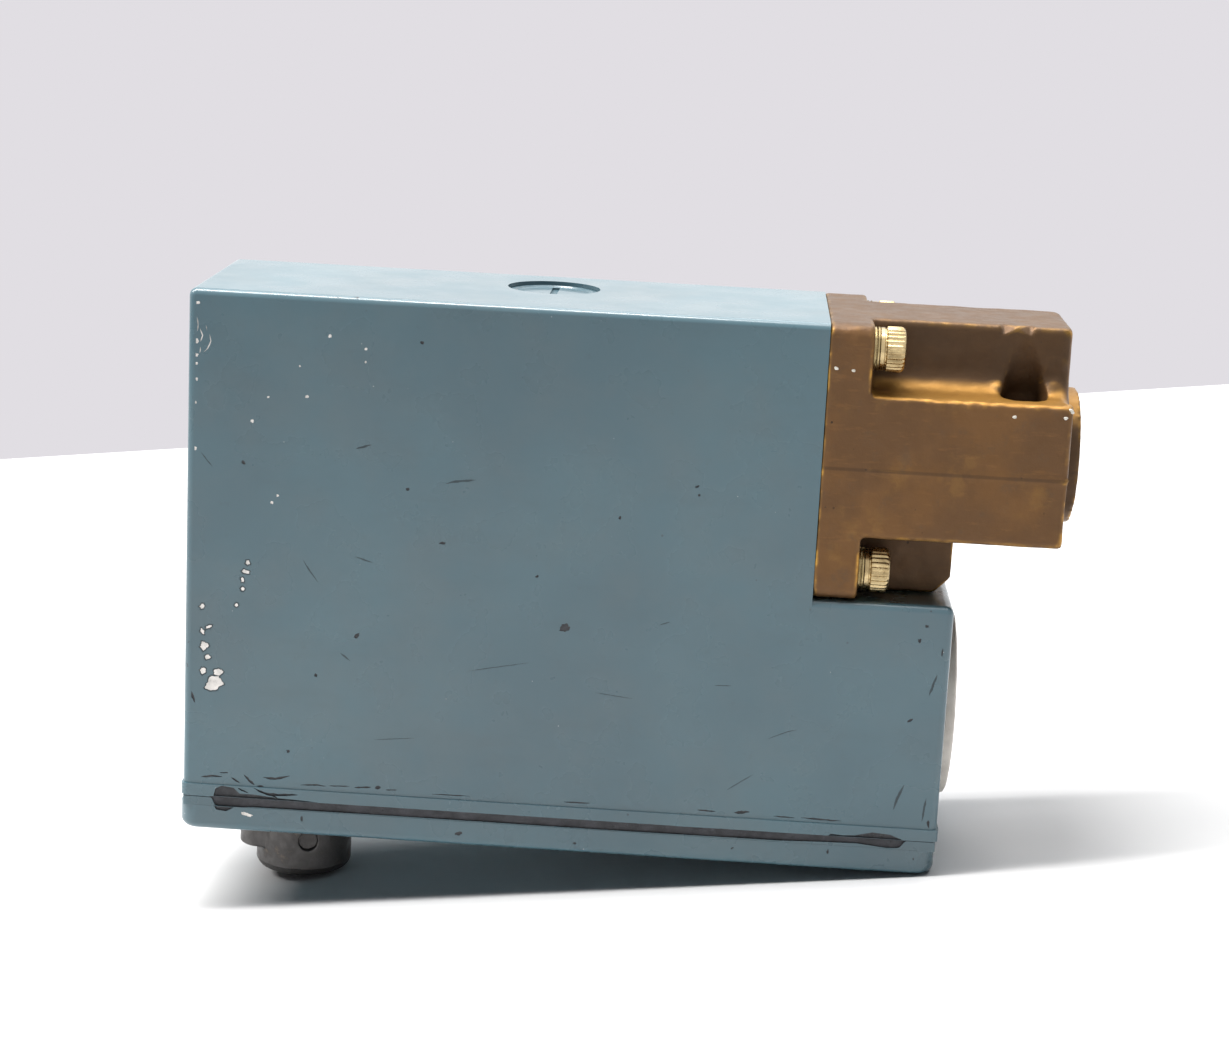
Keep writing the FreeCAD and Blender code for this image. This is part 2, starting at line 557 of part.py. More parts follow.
def build_setpoint():
    """Spindle, its clip and seal, the travelling nut and the range spring on it."""
    centre = {"x": "knob_x", "y": MIDDLE}
    clip = ("-foot_top - foot_thick - spindle_clip_gap - clip_thick",
            "-foot_top - foot_thick - spindle_clip_gap")
    keep(fuse(rod("z", "spindle_thread", "-collar_top - root", "-spindle_top", **centre),
              rod("z", "collar_radius", "-foot_top + collar_gap", "-collar_top", **centre),
              cut(rod("z", "spindle_radius", "-knob_bottom + knob_web + knob_gap", "-foot_top + past",
                      **centre),
                  washer("z", "spindle_radius + past", "spindle_radius - groove_depth",
                         f"{clip[0]} - running_gap", f"{clip[1]} + running_gap", **centre))),
         "setting_spindle")
    keep(cut(washer("z", "spindle_radius + spindle_clip_width", "spindle_radius - clip_overlap",
                    *clip, **centre),
             box(("knob_x - spindle_clip_mouth", "knob_x + spindle_clip_mouth"),
                 ("width / 2 - spindle_radius - spindle_clip_width - past", MIDDLE),
                 (f"{clip[0]} - past", f"{clip[1]} + past"))), "spindle_clip")
    keep(ring("z", "spindle_radius + spindle_seal_section", "spindle_seal_section",
              z="-housing_height - gasket_thick - seal_recess / 2", **centre), "spindle_seal")
    keep(cut(fuse(box(("knob_x - nut_half", "knob_x + nut_half"), ("nut_near", "nut_far"),
                      ("-nut_top - nut_thick", "-nut_top")),
                  rod("z", "nut_hub", "-nut_top - root", "-nut_top + nut_hub_height", **centre)),
             rod("z", "spindle_thread + running_gap", "-nut_top - nut_thick - past",
                 "-nut_top + nut_hub_height + past", **centre)), "spring_nut")
    coil = doc.addObject("Part::Helix", "Coil")
    bind(coil, "Radius", "coil_radius")
    bind(coil, "Height", "nut_top - spring_top - 2 * spring_wire")
    bind(coil, "Pitch", "(nut_top - spring_top - 2 * spring_wire) / spring_turns")
    put(coil, z="-nut_top + spring_wire", **centre)
    section = doc.addObject("Part::Circle", "Section")
    section.Placement = Placement(Vector(), ALONG["y"])
    bind(section, "Radius", "spring_wire")
    put(section, x="knob_x + coil_radius", y=MIDDLE, z="-nut_top + spring_wire")
    spring = doc.addObject("Part::Sweep", "Spring")
    spring.Sections = [section]
    spring.Spine = (coil, [])
    spring.Solid = True
    spring.Frenet = True
    keep(spring, "range_spring")


def build_knob():
    """Pointer knob, drawn about its own axis, with its nose along -X before it is turned."""
    body = keep(doc.addObject("PartDesign::Body", "setting_knob"), "setting_knob")
    body.Placement = Placement(Vector(), Rotation(Vector(0, 0, 1), SIZES["knob_turn"]))
    put(body, x="knob_x", y=MIDDLE, z="0")
    grow(body, "XY", "-knob_bottom", "-knob_top", circle("0", "0", "knob_radius"))
    bottom = -SIZES["knob_bottom"]
    soften(body, "knob_round", lambda low, high: near(low.z, bottom) and near(high.z, bottom))
    grow(body, "XY", "-nose_bottom", "-knob_top", circle("-nose_centre", "0", "nose_radius"))
    grow(body, "XY", "-nose_bottom", "-knob_top",
         rectangle("-nose_centre", "0", "-nose_radius", "nose_radius"))
    carve(body, "XY", "-knob_bottom + knob_web", "-knob_top + past", circle("0", "0", "spindle_radius"))
    carve(body, "XZ", "-knob_radius - past", "0", circle("0", "-grub_drop", "grub_radius + running_gap"))
    screw = doc.addObject("Part::Cylinder", "Grub")
    screw.Placement = Placement(Vector(), Rotation(Vector(0, 0, 1), SIZES["knob_turn"])
                                .multiply(Rotation(Vector(1, 0, 0), 90)))
    bind(screw, "Radius", "grub_radius")
    bind(screw, "Height", "knob_radius - spindle_radius - grub_recess")
    put(screw, x="knob_x + spindle_radius * sin(knob_turn * 1 deg)",
        y="width / 2 - spindle_radius * cos(knob_turn * 1 deg)", z="-grub_drop")
    keep(screw, "knob_grub_screw")


# ---------------------------------------------------------------- electrical parts

def build_microswitch():
    """Snap switch on the plate: body, plunger, three blades and two screws."""
    body = new_body("microswitch_body")
    top, bottom = "-switch_top", "-switch_top - switch_height"
    grow(body, "XZ", "switch_near", "plate_near",
         rectangle("switch_x - switch_half", "switch_x + switch_half", bottom, top))
    carve(body, "XZ", "switch_near - past", "plate_near + past",
          *[circle(x, z, "small_clear") for x, z in SWITCH_SPOTS])
    carve(body, "XY", "-plunger_bottom - past", "-switch_top + past",
          circle("switch_x", "switch_y", "plunger_radius + running_gap"))
    keep(rod("z", "plunger_radius", "-plunger_bottom", "-plunger_top", x="switch_x", y="switch_y"),
         "microswitch_plunger")
    keep(group([box((f"switch_x + {pole} * blade_pitch - blade_half",
                     f"switch_x + {pole} * blade_pitch + blade_half"),
                    ("switch_y - blade_thick / 2", "switch_y + blade_thick / 2"),
                    ("-blade_bottom", bottom)) for pole in POLES]), "microswitch_blades")
    keep(group([fuse(rod("y", "small_head", "switch_near - small_head_height", "switch_near", x=x, z=z),
                     rod("y", "small_body", "switch_near", "plate_far", x=x, z=z))
                for x, z in SWITCH_SPOTS]), "microswitch_screws")


def build_terminal_block():
    """Three-pole block with a cage and a clamp screw for each wire."""
    body = new_body("terminal_block")
    spots = [f"width / 2 + {pole} * pole_pitch" for pole in POLES]
    low, high = "-block_bottom", "-block_top"
    grow(body, "XY", low, high, rectangle("block_left", "block_right", "block_near", "width - block_near"))
    carve(body, "XY", low + " - past", high + " - cage_roof",
          *[rectangle("cage_left - cage_gap", "cage_right + cage_gap", f"{y} - cage_half - cage_gap",
                      f"{y} + cage_half + cage_gap") for y in spots])
    carve(body, "YZ", "block_left - past", "block_right + past",
          *[circle(y, "-wire_entry", "funnel_radius") for y in spots])
    carve(body, "XY", low + " - past", high + " + past", *[circle(x, y, "tiny_clear") for x, y in EAR_SPOTS])
    carve(body, "XY", low + " - past", low + " + tiny_sink_depth",
          *[circle(x, y, "tiny_sink") for x, y in EAR_SPOTS])
    keep(group([cut(box(("cage_left", "cage_right"), (f"{y} - cage_half", f"{y} + cage_half"),
                        (low + " + cage_foot", high + " - cage_roof - cage_gap")),
                    rod("x", "cage_bore", "cage_left - past", "cage_right + past", y=y, z="-wire_entry"),
                    rod("z", "small_body", low, "-wire_entry", x="terminal_x", y=y))
                for y in spots]), "terminal_cages")
    clamp = low + " + clamp_sink + clamp_head_height"
    keep(group([cut(fuse(rod("z", "clamp_head", low + " + clamp_sink", clamp, x="terminal_x", y=y),
                         rod("z", "clamp_body", clamp, "-wire_entry - past", x="terminal_x", y=y)),
                    box(("terminal_x - clamp_head - past", "terminal_x + clamp_head + past"),
                        (f"{y} - clamp_slot", f"{y} + clamp_slot"),
                        (low, low + " + 2 * clamp_sink"))) for y in spots]), "terminal_screws")
    seat = low + " + tiny_sink_depth"
    keep(group([fuse(rod("z", "tiny_head", seat + " - tiny_head_height", seat, x=x, y=y),
                     rod("z", "tiny_body", seat, high + " + pillar_hole - past", x=x, y=y))
                for x, y in EAR_SPOTS]), "terminal_block_screws")


def rounded_route(points):
    """Straight runs through points, joined by tangent arcs, and the smallest arc's radius."""
    edges, start, radii = [], points[0], []
    for before, corner, after in zip(points, points[1:], points[2:]):
        back, ahead = before - corner, after - corner
        room = ARC_SHARE * min(back.Length, ahead.Length)
        back.normalize()
        ahead.normalize()
        enter, leave = corner + back * room, corner + ahead * room
        bisector = (back + ahead).normalize()
        centre_gap = room / bisector.dot(back)
        radius = (centre_gap ** 2 - room ** 2) ** 0.5
        edges.append(Part.LineSegment(start, enter).toShape())
        edges.append(Part.Arc(enter, corner + bisector * (centre_gap - radius), leave).toShape())
        start = leave
        radii.append(radius)
    edges.append(Part.LineSegment(start, points[-1]).toShape())
    return Part.Wire(edges), min(radii)


def build_wires():
    """One insulated wire from each switch blade to its pole of the terminal block."""
    face, entry = SIZES["switch_y"] - SIZES["blade_thick"] / 2, -SIZES["wire_entry"]
    low = -SIZES["blade_bottom"] + SIZES["wire_above_tip"]
    for pole, label in zip(POLES, ("wire_common", "wire_normally_open", "wire_normally_closed")):
        blade_x = SIZES["switch_x"] + pole * SIZES["blade_pitch"]
        lane = SIZES["lane_y"] + SIZES["lane_pitch"] * pole
        pole_y = SIZES["width"] / 2 + pole * SIZES["pole_pitch"]
        route, radius = rounded_route([Vector(blade_x, face, low), Vector(blade_x, lane, low),
                                       Vector(SIZES["lane_end"], lane, low),
                                       Vector(SIZES["turn_end"], pole_y, entry),
                                       Vector(SIZES["wire_end"], pole_y, entry)])
        print(f"{label:28s} arcs of at least {radius:.2f} mm about a {SIZES['wire_radius']} mm wire radius")
        disc = Part.Wire(Part.Circle(Vector(blade_x, face, low), Vector(0, -1, 0),
                                     SIZES["wire_radius"]).toShape())
        wire = doc.addObject("Part::Feature", label)
        wire.Shape = route.makePipeShell([disc], True, True)
        expected = route.Length * math.pi * SIZES["wire_radius"] ** 2
        if abs(wire.Shape.Volume / expected - 1) > 0.01:
            raise RuntimeError(f"{label} has the wrong volume")
        put(wire, x="0", y="0", z="0")
        keep(wire, label)


def build_earth_screw():
    """Earth screw on its boss in the near wall."""
    centre = {"x": "earth_x", "y": "earth_y"}
    washer_low = "-earth_face - washer_thick"
    head_low = washer_low + " - earth_head_height"
    keep(cut(fuse(rod("z", "earth_head", head_low, washer_low, **centre),
                  rod("z", "thread_radius", washer_low, "-earth_face + pillar_hole + past", **centre)),
             box(("earth_x - earth_head - past", "earth_x + earth_head + past"),
                 ("earth_y - earth_slot", "earth_y + earth_slot"),
                 (head_low + " - past", head_low + " + earth_slot_depth"))), "earth_screw")
    keep(washer("z", "earth_washer", "washer_bore", washer_low, "-earth_face", **centre), "earth_washer")


# ---------------------------------------------------------------- closures

def build_access_plug():
    """Slotted plug in the top face, over the trip screw, with its seal."""
    centre = {"x": "access_x", "y": "access_y"}
    seat = "-access_depth + access_seal"
    keep(cut(fuse(rod("z", "access_radius - 3 * running_gap", seat, "-access_face", **centre),
                  rod("z", "access_thread - plug_gap", "-access_depth - access_boss + root", seat + " + root",
                      **centre)),
             box(("access_x - access_slot", "access_x + access_slot"),
                 ("access_y - access_slot_half", "access_y + access_slot_half"),
                 ("-access_face - access_slot_depth", "0"))), "access_plug")
    keep(washer("z", "access_radius - 3 * running_gap", "access_thread + running_gap", "-access_depth", seat,
                **centre), "access_plug_seal")


def build_entry_plug():
    """Blanking plug in the cable entry, hollow behind, with its O-ring."""
    centre = {"y": MIDDLE, "z": "-entry_drop"}
    face = "lower_length + entry_head_thick"
    keep(cut(fuse(rod("x", "entry_head", "lower_length", face, **centre),
                  rod("x", "entry_radius - plug_gap", "lower_length - entry_plug_depth",
                      "lower_length + root", **centre)),
             rod("x", "entry_hollow", "lower_length - entry_plug_depth - past", "lower_length - entry_floor",
                 **centre),
             box((face + " - entry_slot_depth", face + " + past"),
                 ("width / 2 - entry_slot_half", "width / 2 + entry_slot_half"),
                 ("-entry_drop - entry_slot", "-entry_drop + entry_slot"))), "cable_entry_plug")
    keep(ring("x", "entry_seal_radius", "entry_seal_section", x="lower_length - entry_seal_section",
              **centre), "cable_entry_seal")


def check_and_write():
    """Stops on any failed object, idle pocket or bad shape, then writes one file per sub-part."""
    for item in doc.Objects:
        if {"Invalid", "Error"} & set(item.State):
            raise RuntimeError(f"{item.Label} ({item.Name}) failed: {item.State}")
    for pocket in pockets:
        if pocket.Shape.Volume > pocket.BaseFeature.Shape.Volume - 0.01:
            raise RuntimeError(f"{pocket.Name} in {pocket.getParentGeoFeatureGroup().Label} cuts nothing")
    os.makedirs("parts", exist_ok=True)
    for part in subparts:
        shape = part.Shape
        if shape.isNull() or not shape.isValid() or shape.Volume < TOUCH:
            raise RuntimeError(f"{part.Label} has a bad shape")
        shape.exportStep(f"parts/{part.Label}.step")
        print(f"{part.Label:28s} solids {len(shape.Solids)}  volume {shape.Volume:10.2f}")


build_housing()
build_gasket()
build_cover()
build_cover_screws()
build_port_block()
build_block_screws()
build_piston()
build_mechanism_plate()
build_pivot()
build_lever()
build_trip_screw()
build_setpoint()
build_knob()
build_microswitch()
build_terminal_block()
build_wires()
build_earth_screw()
build_access_plug()
build_entry_plug()
doc.recompute()
check_and_write()
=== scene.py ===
"""Pressure switch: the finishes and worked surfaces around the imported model, with floor, lights and camera."""
import math

import bmesh
import bpy
from mathutils import Matrix, Vector, geometry, noise


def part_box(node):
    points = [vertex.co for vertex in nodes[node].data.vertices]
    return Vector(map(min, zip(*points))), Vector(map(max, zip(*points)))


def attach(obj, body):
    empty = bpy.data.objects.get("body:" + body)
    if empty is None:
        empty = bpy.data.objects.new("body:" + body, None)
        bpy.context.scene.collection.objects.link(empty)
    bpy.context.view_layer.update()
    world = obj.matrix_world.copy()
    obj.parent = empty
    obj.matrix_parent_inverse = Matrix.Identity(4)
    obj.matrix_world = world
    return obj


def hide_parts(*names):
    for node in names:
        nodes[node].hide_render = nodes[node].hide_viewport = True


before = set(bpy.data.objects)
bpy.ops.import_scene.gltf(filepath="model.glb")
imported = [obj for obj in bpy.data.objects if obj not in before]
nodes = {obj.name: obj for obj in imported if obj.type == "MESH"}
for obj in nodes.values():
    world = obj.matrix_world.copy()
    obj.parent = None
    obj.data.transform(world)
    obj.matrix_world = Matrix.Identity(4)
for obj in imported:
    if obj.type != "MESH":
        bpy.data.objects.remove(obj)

MM = 0.001
scene = bpy.context.scene
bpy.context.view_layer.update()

# Places below are in millimetres from the housing's datum: x from its left end, y from its near face and
# z from its top face, as the part's source has them.
GASKET_LOW, GASKET_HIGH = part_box("cover_gasket")
HOUSING_LOW, HOUSING_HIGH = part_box("housing")
DATUM = Vector((GASKET_LOW.x, GASKET_LOW.y, HOUSING_HIGH.z))
LENGTH = (GASKET_HIGH.x - GASKET_LOW.x) / MM
WIDTH = (GASKET_HIGH.y - GASKET_LOW.y) / MM
MIDDLE = WIDTH / 2
SEAM_TOP = (GASKET_HIGH.z - DATUM.z) / MM
SEAM_BOTTOM = (GASKET_LOW.z - DATUM.z) / MM
CORNER = 0.5            # radius of the casting's upright corners at the joint
NEAR_ROW = 4.3          # cap screws stand this far in from the near and far faces
SCREW_ROWS = (-4.0, -38.7)
PORT_HEIGHT = -21.5
KNOB_AXIS = 16.8
PITCH_G14, MINOR_G14, DEPTH_G14 = 1.337, 5.7225, 0.856
PAINT_LAYER, THIN_LAYER, PRIMER_LAYER, BARE_LAYER = range(4)


def place(x, y, z):
    """A point of the row frame, in metres, from millimetres at the datum."""
    return DATUM + Vector((x, y, z)) * MM


def span(node):
    """A CAD node's lowest and highest corners in millimetres from the datum."""
    return [(corner - DATUM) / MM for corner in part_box(node)]


# ---------------------------------------------------------------- node trees

def colour(code):
    """Linear colour from a screen colour such as '6E5138'."""
    steps = [int(code[i:i + 2], 16) / 255 for i in (0, 2, 4)]
    return tuple(s / 12.92 if s <= 0.04045 else ((s + 0.055) / 1.055) ** 2.4 for s in steps) + (1.0,)


class Finish:
    """A Principled material, with short calls for the nodes that the finishes share."""

    def __init__(self, name, **constants):
        """Constants are the shader's own sockets, with _ for each space in a name."""
        self.material = bpy.data.materials.new(name)
        self.material.use_nodes = True
        self.tree = self.material.node_tree
        self.shader = next(n for n in self.tree.nodes if n.type == "BSDF_PRINCIPLED")
        for socket, value in constants.items():
            self.shader.inputs[socket.replace("_", " ")].default_value = value
        coordinates = self.tree.nodes.new("ShaderNodeTexCoord")
        self.place = coordinates.outputs["Object"]
        self.normal = coordinates.outputs["Normal"]
        self.relief = None

    def add(self, kind, values=(), **settings):
        """A node with its settings, and its inputs linked or set in order. None skips an input."""
        node = self.tree.nodes.new("ShaderNode" + kind)
        for name, value in settings.items():
            setattr(node, name, value)
        for socket, value in zip(node.inputs, values):
            if isinstance(value, bpy.types.NodeSocket):
                self.tree.links.new(value, socket)
            elif value is not None:
                socket.default_value = value
        return node

    def maths(self, operation, first, second=None, third=None, clamp=False):
        return self.add("Math", (first, second, third), operation=operation, use_clamp=clamp).outputs[0]

    def vector(self, operation, first, second=None):
        node = self.add("VectorMath", (first, second), operation=operation)
        return node.outputs["Value" if operation in ("LENGTH", "DOT_PRODUCT") else "Vector"]

    def stretched(self, x=1.0, y=1.0, z=1.0):
        """The place scaled along each axis, for grain that runs one way."""
        return self.vector("MULTIPLY", self.place, (x, y, z))

    def grain(self, size, detail=3.0, roughness=0.5, at=None, distortion=0.0):
        """Noise from 0 to 1 whose features are about size millimetres."""
        node = self.add("TexNoise")
        self.tree.links.new(at or self.place, node.inputs["Vector"])
        for socket, value in (("Scale", 1 / (size * MM)), ("Detail", detail), ("Roughness", roughness),
                              ("Distortion", distortion)):
            node.inputs[socket].default_value = value
        return node.outputs[0]

    def cells(self, size):
        """Distance to scattered points about size millimetres apart."""
        node = self.add("TexVoronoi", feature="F1")
        self.tree.links.new(self.place, node.inputs["Vector"])
        node.inputs["Scale"].default_value = 1 / (size * MM)
        return node.outputs["Distance"]

    def step(self, value, low, high, bottom=0.0, top=1.0):
        """A smooth step of value, from bottom at low to top at high."""
        node = self.add("MapRange", (value, low, high, bottom, top), interpolation_type="SMOOTHSTEP")
        return node.outputs[0]

    def blend(self, amount, below, above):
        """Colour mix."""
        node = self.add("Mix", data_type="RGBA")
        for socket, value in ((0, amount), (6, below), (7, above)):
            if isinstance(value, bpy.types.NodeSocket):
                self.tree.links.new(value, node.inputs[socket])
            else:
                node.inputs[socket].default_value = value
        return node.outputs[2]

    def raise_by(self, height, depth):
        """Bump of height from 0 to 1 over depth millimetres, stacked on what is there."""
        node = self.add("Bump")
        node.inputs["Distance"].default_value = depth * MM
        self.tree.links.new(height, node.inputs["Height"])
        if self.relief:
            self.tree.links.new(self.relief, node.inputs["Normal"])
        self.relief = node.outputs[0]

    def rounded_edges(self, flat=0.99, sharp=0.93):
        """1 where the surface turns from one axis-aligned face to the next."""
        parts = self.add("SeparateXYZ", (self.vector("ABSOLUTE", self.normal),)).outputs
        most = self.maths("MAXIMUM", self.maths("MAXIMUM", parts[0], parts[1]), parts[2])
        return self.step(most, flat, sharp)

    def finish(self, base, roughness):
        """Links the colour, roughness and stacked relief to the shader."""
        self.tree.links.new(base, self.shader.inputs["Base Color"])
        self.tree.links.new(roughness, self.shader.inputs["Roughness"])
        if self.relief:
            self.tree.links.new(self.relief, self.shader.inputs["Normal"])
        return self.material


# ---------------------------------------------------------------- marks on the painted near face

# Ragged ellipses as (x, z, half length, half height, degrees).
PRIMER_CHIPS = [(5.0, -62.5, 1.6, 0.95, 35), (5.5, -60.7, 0.8, 0.5, 10), (3.1, -60.6, 0.5, 0.45, 0),
                (3.2, -56.5, 0.6, 0.6, 0), (3.8, -58.3, 0.45, 0.4, 40), (2.9, -54.2, 0.25, 0.5, 20),
                (3.9, -53.4, 0.5, 0.2, 20), (2.8, -50.1, 0.35, 0.4, 0), (8.2, -49.6, 0.25, 0.25, 0),
                (9.2, -46.9, 0.25, 0.25, 0), (9.1, -45.4, 0.25, 0.4, 0), (9.6, -44.1, 0.3, 0.7, 80),
                (9.9, -42.6, 0.3, 0.35, 0)]
SPECKS = [(21.9, -6.2, 0.26, 0.26, 0), (27.5, -7.9, 0.2, 0.2, 0), (18.6, -15.8, 0.26, 0.26, 0),
          (10.2, -20.1, 0.26, 0.26, 0), (12.6, -16.2, 0.18, 0.18, 0), (27.5, -9.9, 0.16, 0.16, 0),
          (17.4, -11.1, 0.15, 0.15, 0), (13.5, -32.8, 0.26, 0.26, 0), (14.4, -31.6, 0.2, 0.2, 0),
          (1.4, -24.9, 0.26, 0.26, 0), (1.5, -2.2, 0.34, 0.22, 0), (1.4, -8.1, 0.32, 0.4, 0),
          (1.4, -10.3, 0.28, 0.3, 0), (1.4, -11.6, 0.22, 0.22, 0), (1.5, -14.0, 0.16, 0.26, 0),
          (1.4, -17.7, 0.13, 0.22, 0)]
RUBS = [(0.07, [(1.4, -4.4), (1.6, -5.6), (1.5, -6.6)]), (0.09, [(1.9, -6.2), (2.3, -7.2), (2.0, -8.2)]),
        (0.08, [(3.4, -7.0), (3.6, -8.0), (3.1, -9.2), (2.5, -9.8)]), (0.05, [(2.8, -5.6), (3.0, -6.4)]),
        (0.06, [(2.0, -9.0), (1.9, -10.0)])]
NICKS = [(40.3, -37.6, 0.45, 0.2, 0), (59.9, -50.0, 0.8, 0.6, 20), (67.6, -31.9, 0.2, 0.3, 0),
         (79.2, -26.3, 0.35, 0.18, 30), (79.6, -27.6, 0.2, 0.2, 0), (16.9, -73.0, 0.25, 0.25, 0),
         (27.3, -53.4, 0.55, 0.28, 55), (21.0, -60.2, 0.35, 0.2, -60), (55.2, -42.0, 0.3, 0.2, 30),
         (1.5, -64.9, 0.2, 0.9, 20), (34.6, -29.4, 0.3, 0.2, 0), (9.0, -26.7, 0.35, 0.22, -50),
         (115.9, -46.2, 0.3, 0.22, 0), (115.0, -48.6, 0.25, 0.35, 0), (36.1, -6.4, 0.3, 0.25, 0),
         (118.6, -50.3, 0.15, 0.5, 0), (114.5, -61.5, 0.5, 0.2, 30)]
COVER_NICKS = [(19.3, -84.2, 0.2, 0.45, 0), (44.5, -84.9, 0.6, 0.3, 20), (103.1, -84.0, 0.2, 0.35, 0),
               (117.0, -84.2, 0.5, 0.18, 10), (63.0, -85.3, 0.3, 0.15, 0), (88.0, -84.4, 0.25, 0.12, 40)]
COVER_CHIPS = [(10.4, -84.0, 1.0, 0.32, -14)]
# Open lines as (half width, points).
SCRATCHES = [(0.16, [(40.4, -28.2), (42.0, -27.7), (45.1, -27.3)]), (0.14, [(26.4, -23.5), (28.8, -22.7)]),
             (0.09, [(26.7, -40.6), (29.5, -41.4)]), (0.08, [(18.6, -41.7), (19.6, -43.2), (21.0, -45.1)]),
             (0.09, [(24.8, -56.3), (26.4, -57.5)]), (0.2, [(112.9, -76.3), (113.4, -74.3), (114.3, -72.1)]),
             (0.16, [(117.5, -78.0), (117.9, -74.1)]), (0.18, [(117.1, -57.3), (118.1, -53.9)]),
             (0.07, [(86.6, -74.8), (88.8, -73.2), (90.6, -72.0)]), (0.07, [(83.7, -57.8), (86.3, -57.7)]),
             (0.07, [(74.6, -48.6), (76.2, -48.0)]), (0.055, [(44.8, -58.0), (49.6, -57.0), (54.5, -56.0)]),
             (0.055, [(65.1, -60.2), (71.0, -60.8)]), (0.08, [(2.3, -25.5), (4.1, -27.6)]),
             (0.06, [(92.5, -66.0), (95.5, -64.6), (97.0, -64.2)]), (0.05, [(30.5, -70.2), (36.9, -69.5)])]
CRACKS = [(0.18, [(13.0, -77.6), (14.6, -77.7), (15.6, -77.6), (17.2, -77.1)]),
          (0.19, [(9.9, -77.4), (10.7, -78.2), (11.6, -79.0)]), (0.14, [(7.9, -78.0), (9.2, -78.75)]),
          (0.15, [(12.0, -79.15), (13.1, -79.12)]), (0.15, [(3.0, -78.2), (4.6, -77.9), (6.4, -77.95)]),
          (0.1, [(6.0, -77.3), (7.4, -77.2)])]
BAND_CRACKS = [(0.19, [(11.6, -79.45), (13.0, -80.1), (14.6, -80.45), (15.5, -80.9)]),
               (0.18, [(13.4, -80.1), (15.4, -80.3), (17.0, -80.2), (18.6, -80.1)]),
               (0.12, [(9.0, -79.6), (10.6, -80.3)])]
LEDGE_DIRT = [(0.12, [(19.0, -78.5), (21.5, -78.3), (23.0, -78.45)]), (0.1, [(23.6, -78.3), (26.8, -78.2)]),
              (0.14, [(27.6, -78.35), (30.2, -78.1)]), (0.22, [(30.9, -78.2), (31.8, -78.0)]),
              (0.09, [(32.6, -78.4), (34.4, -78.3)]), (0.08, [(40.0, -78.6), (46.0, -78.55)]),
              (0.1, [(61.0, -78.5), (65.1, -78.45)]), (0.12, [(82.2, -78.4), (85.0, -78.5)]),
              (0.2, [(88.0, -78.45), (90.4, -78.2)]), (0.1, [(94.2, -78.6), (97.5, -78.7)]),
              (0.12, [(98.5, -78.6), (104.9, -78.75)]), (0.3, [(118.5, -77.7), (118.7, -79.0)])]
# The torn paint along the cover's joint, from left to right.
TEAR_TOP = [(0.5, -81.40), (4.6, -81.42), (5.1, -81.1), (5.4, -79.9), (6.4, -79.35), (8.3, -79.6),
            (9.3, -80.5),
            (11.4, -80.5), (15.5, -80.85), (19.5, -81.0), (24, -81.2), (38, -81.25), (67, -81.3),
            (82.8, -81.35), (95.4, -81.2),
            (103.4, -80.85), (105.2, -81.0), (107.2, -80.85), (109.9, -80.2), (112.7, -80.4), (114.7, -81.2),
            (115.4, -81.3), (119.5, -81.3)]
TEAR_BOTTOM = [(0.5, -81.50), (4.7, -81.55), (5.2, -82.7), (5.5, -83.5), (7.1, -83.7), (8.4, -82.95),
               (11.4, -82.75), (38, -82.7), (67, -82.75), (95.5, -82.65), (102.6, -82.4), (107.6, -82.3),
               (112.4, -82.75), (114.3, -82.6), (115.2, -81.4), (119.5, -81.42)]

# ---------------------------------------------------------------- finishes

def teal_paint(name):
    """Old gloss enamel: mottled, peppered and rubbed thin on the edges."""
    finish = Finish(name, Specular_IOR_Level=0.5, Coat_Weight=0.45, Coat_Roughness=0.06)
    base = finish.blend(finish.step(finish.grain(38, 2), 0.35, 0.65), colour("4E6F7A"), colour("486671"))
    base = finish.blend(finish.step(finish.grain(2.2, 4, 0.7), 0.6, 0.8, 0, 0.14), base, colour("3C4244"))
    film = finish.step(finish.grain(13, 3, 0.6), 0.38, 0.76, 0, 0.26)
    base = finish.blend(film, base, colour("626E71"))
    streak = finish.step(finish.grain(5, 3, 0.6, finish.stretched(0.35, 1, 1)), 0.5, 0.8, 0, 0.14)
    base = finish.blend(streak, base, colour("3F5056"))
    finish.raise_by(finish.grain(1.1, 3), 0.014)
    finish.raise_by(finish.grain(16, 2), 0.16)
    peppered = finish.maths("MULTIPLY", finish.step(finish.cells(5.2), 0.045, 0.028),
                            finish.step(finish.grain(17, 3), 0.48, 0.58))
    dust = finish.maths("MULTIPLY", finish.step(finish.cells(3.1), 0.034, 0.02),
                        finish.step(finish.grain(11, 3), 0.5, 0.6, 0, 0.7))
    worn = finish.maths("MULTIPLY", finish.rounded_edges(), finish.step(finish.grain(2.6, 4, 0.7), 0.64, 0.7))
    dark = finish.maths("MAXIMUM", worn, peppered)
    base = finish.blend(dust, base, colour("D6DAD8"))
    base = finish.blend(dark, base, colour("34353A"))
    finish.raise_by(finish.maths("SUBTRACT", 1.0, dark), 0.05)
    roughness = finish.step(finish.grain(9, 4), 0.3, 0.7, 0.24, 0.36)
    return finish.finish(base, finish.maths("ADD", roughness, finish.maths("MULTIPLY", dark, 0.35)))


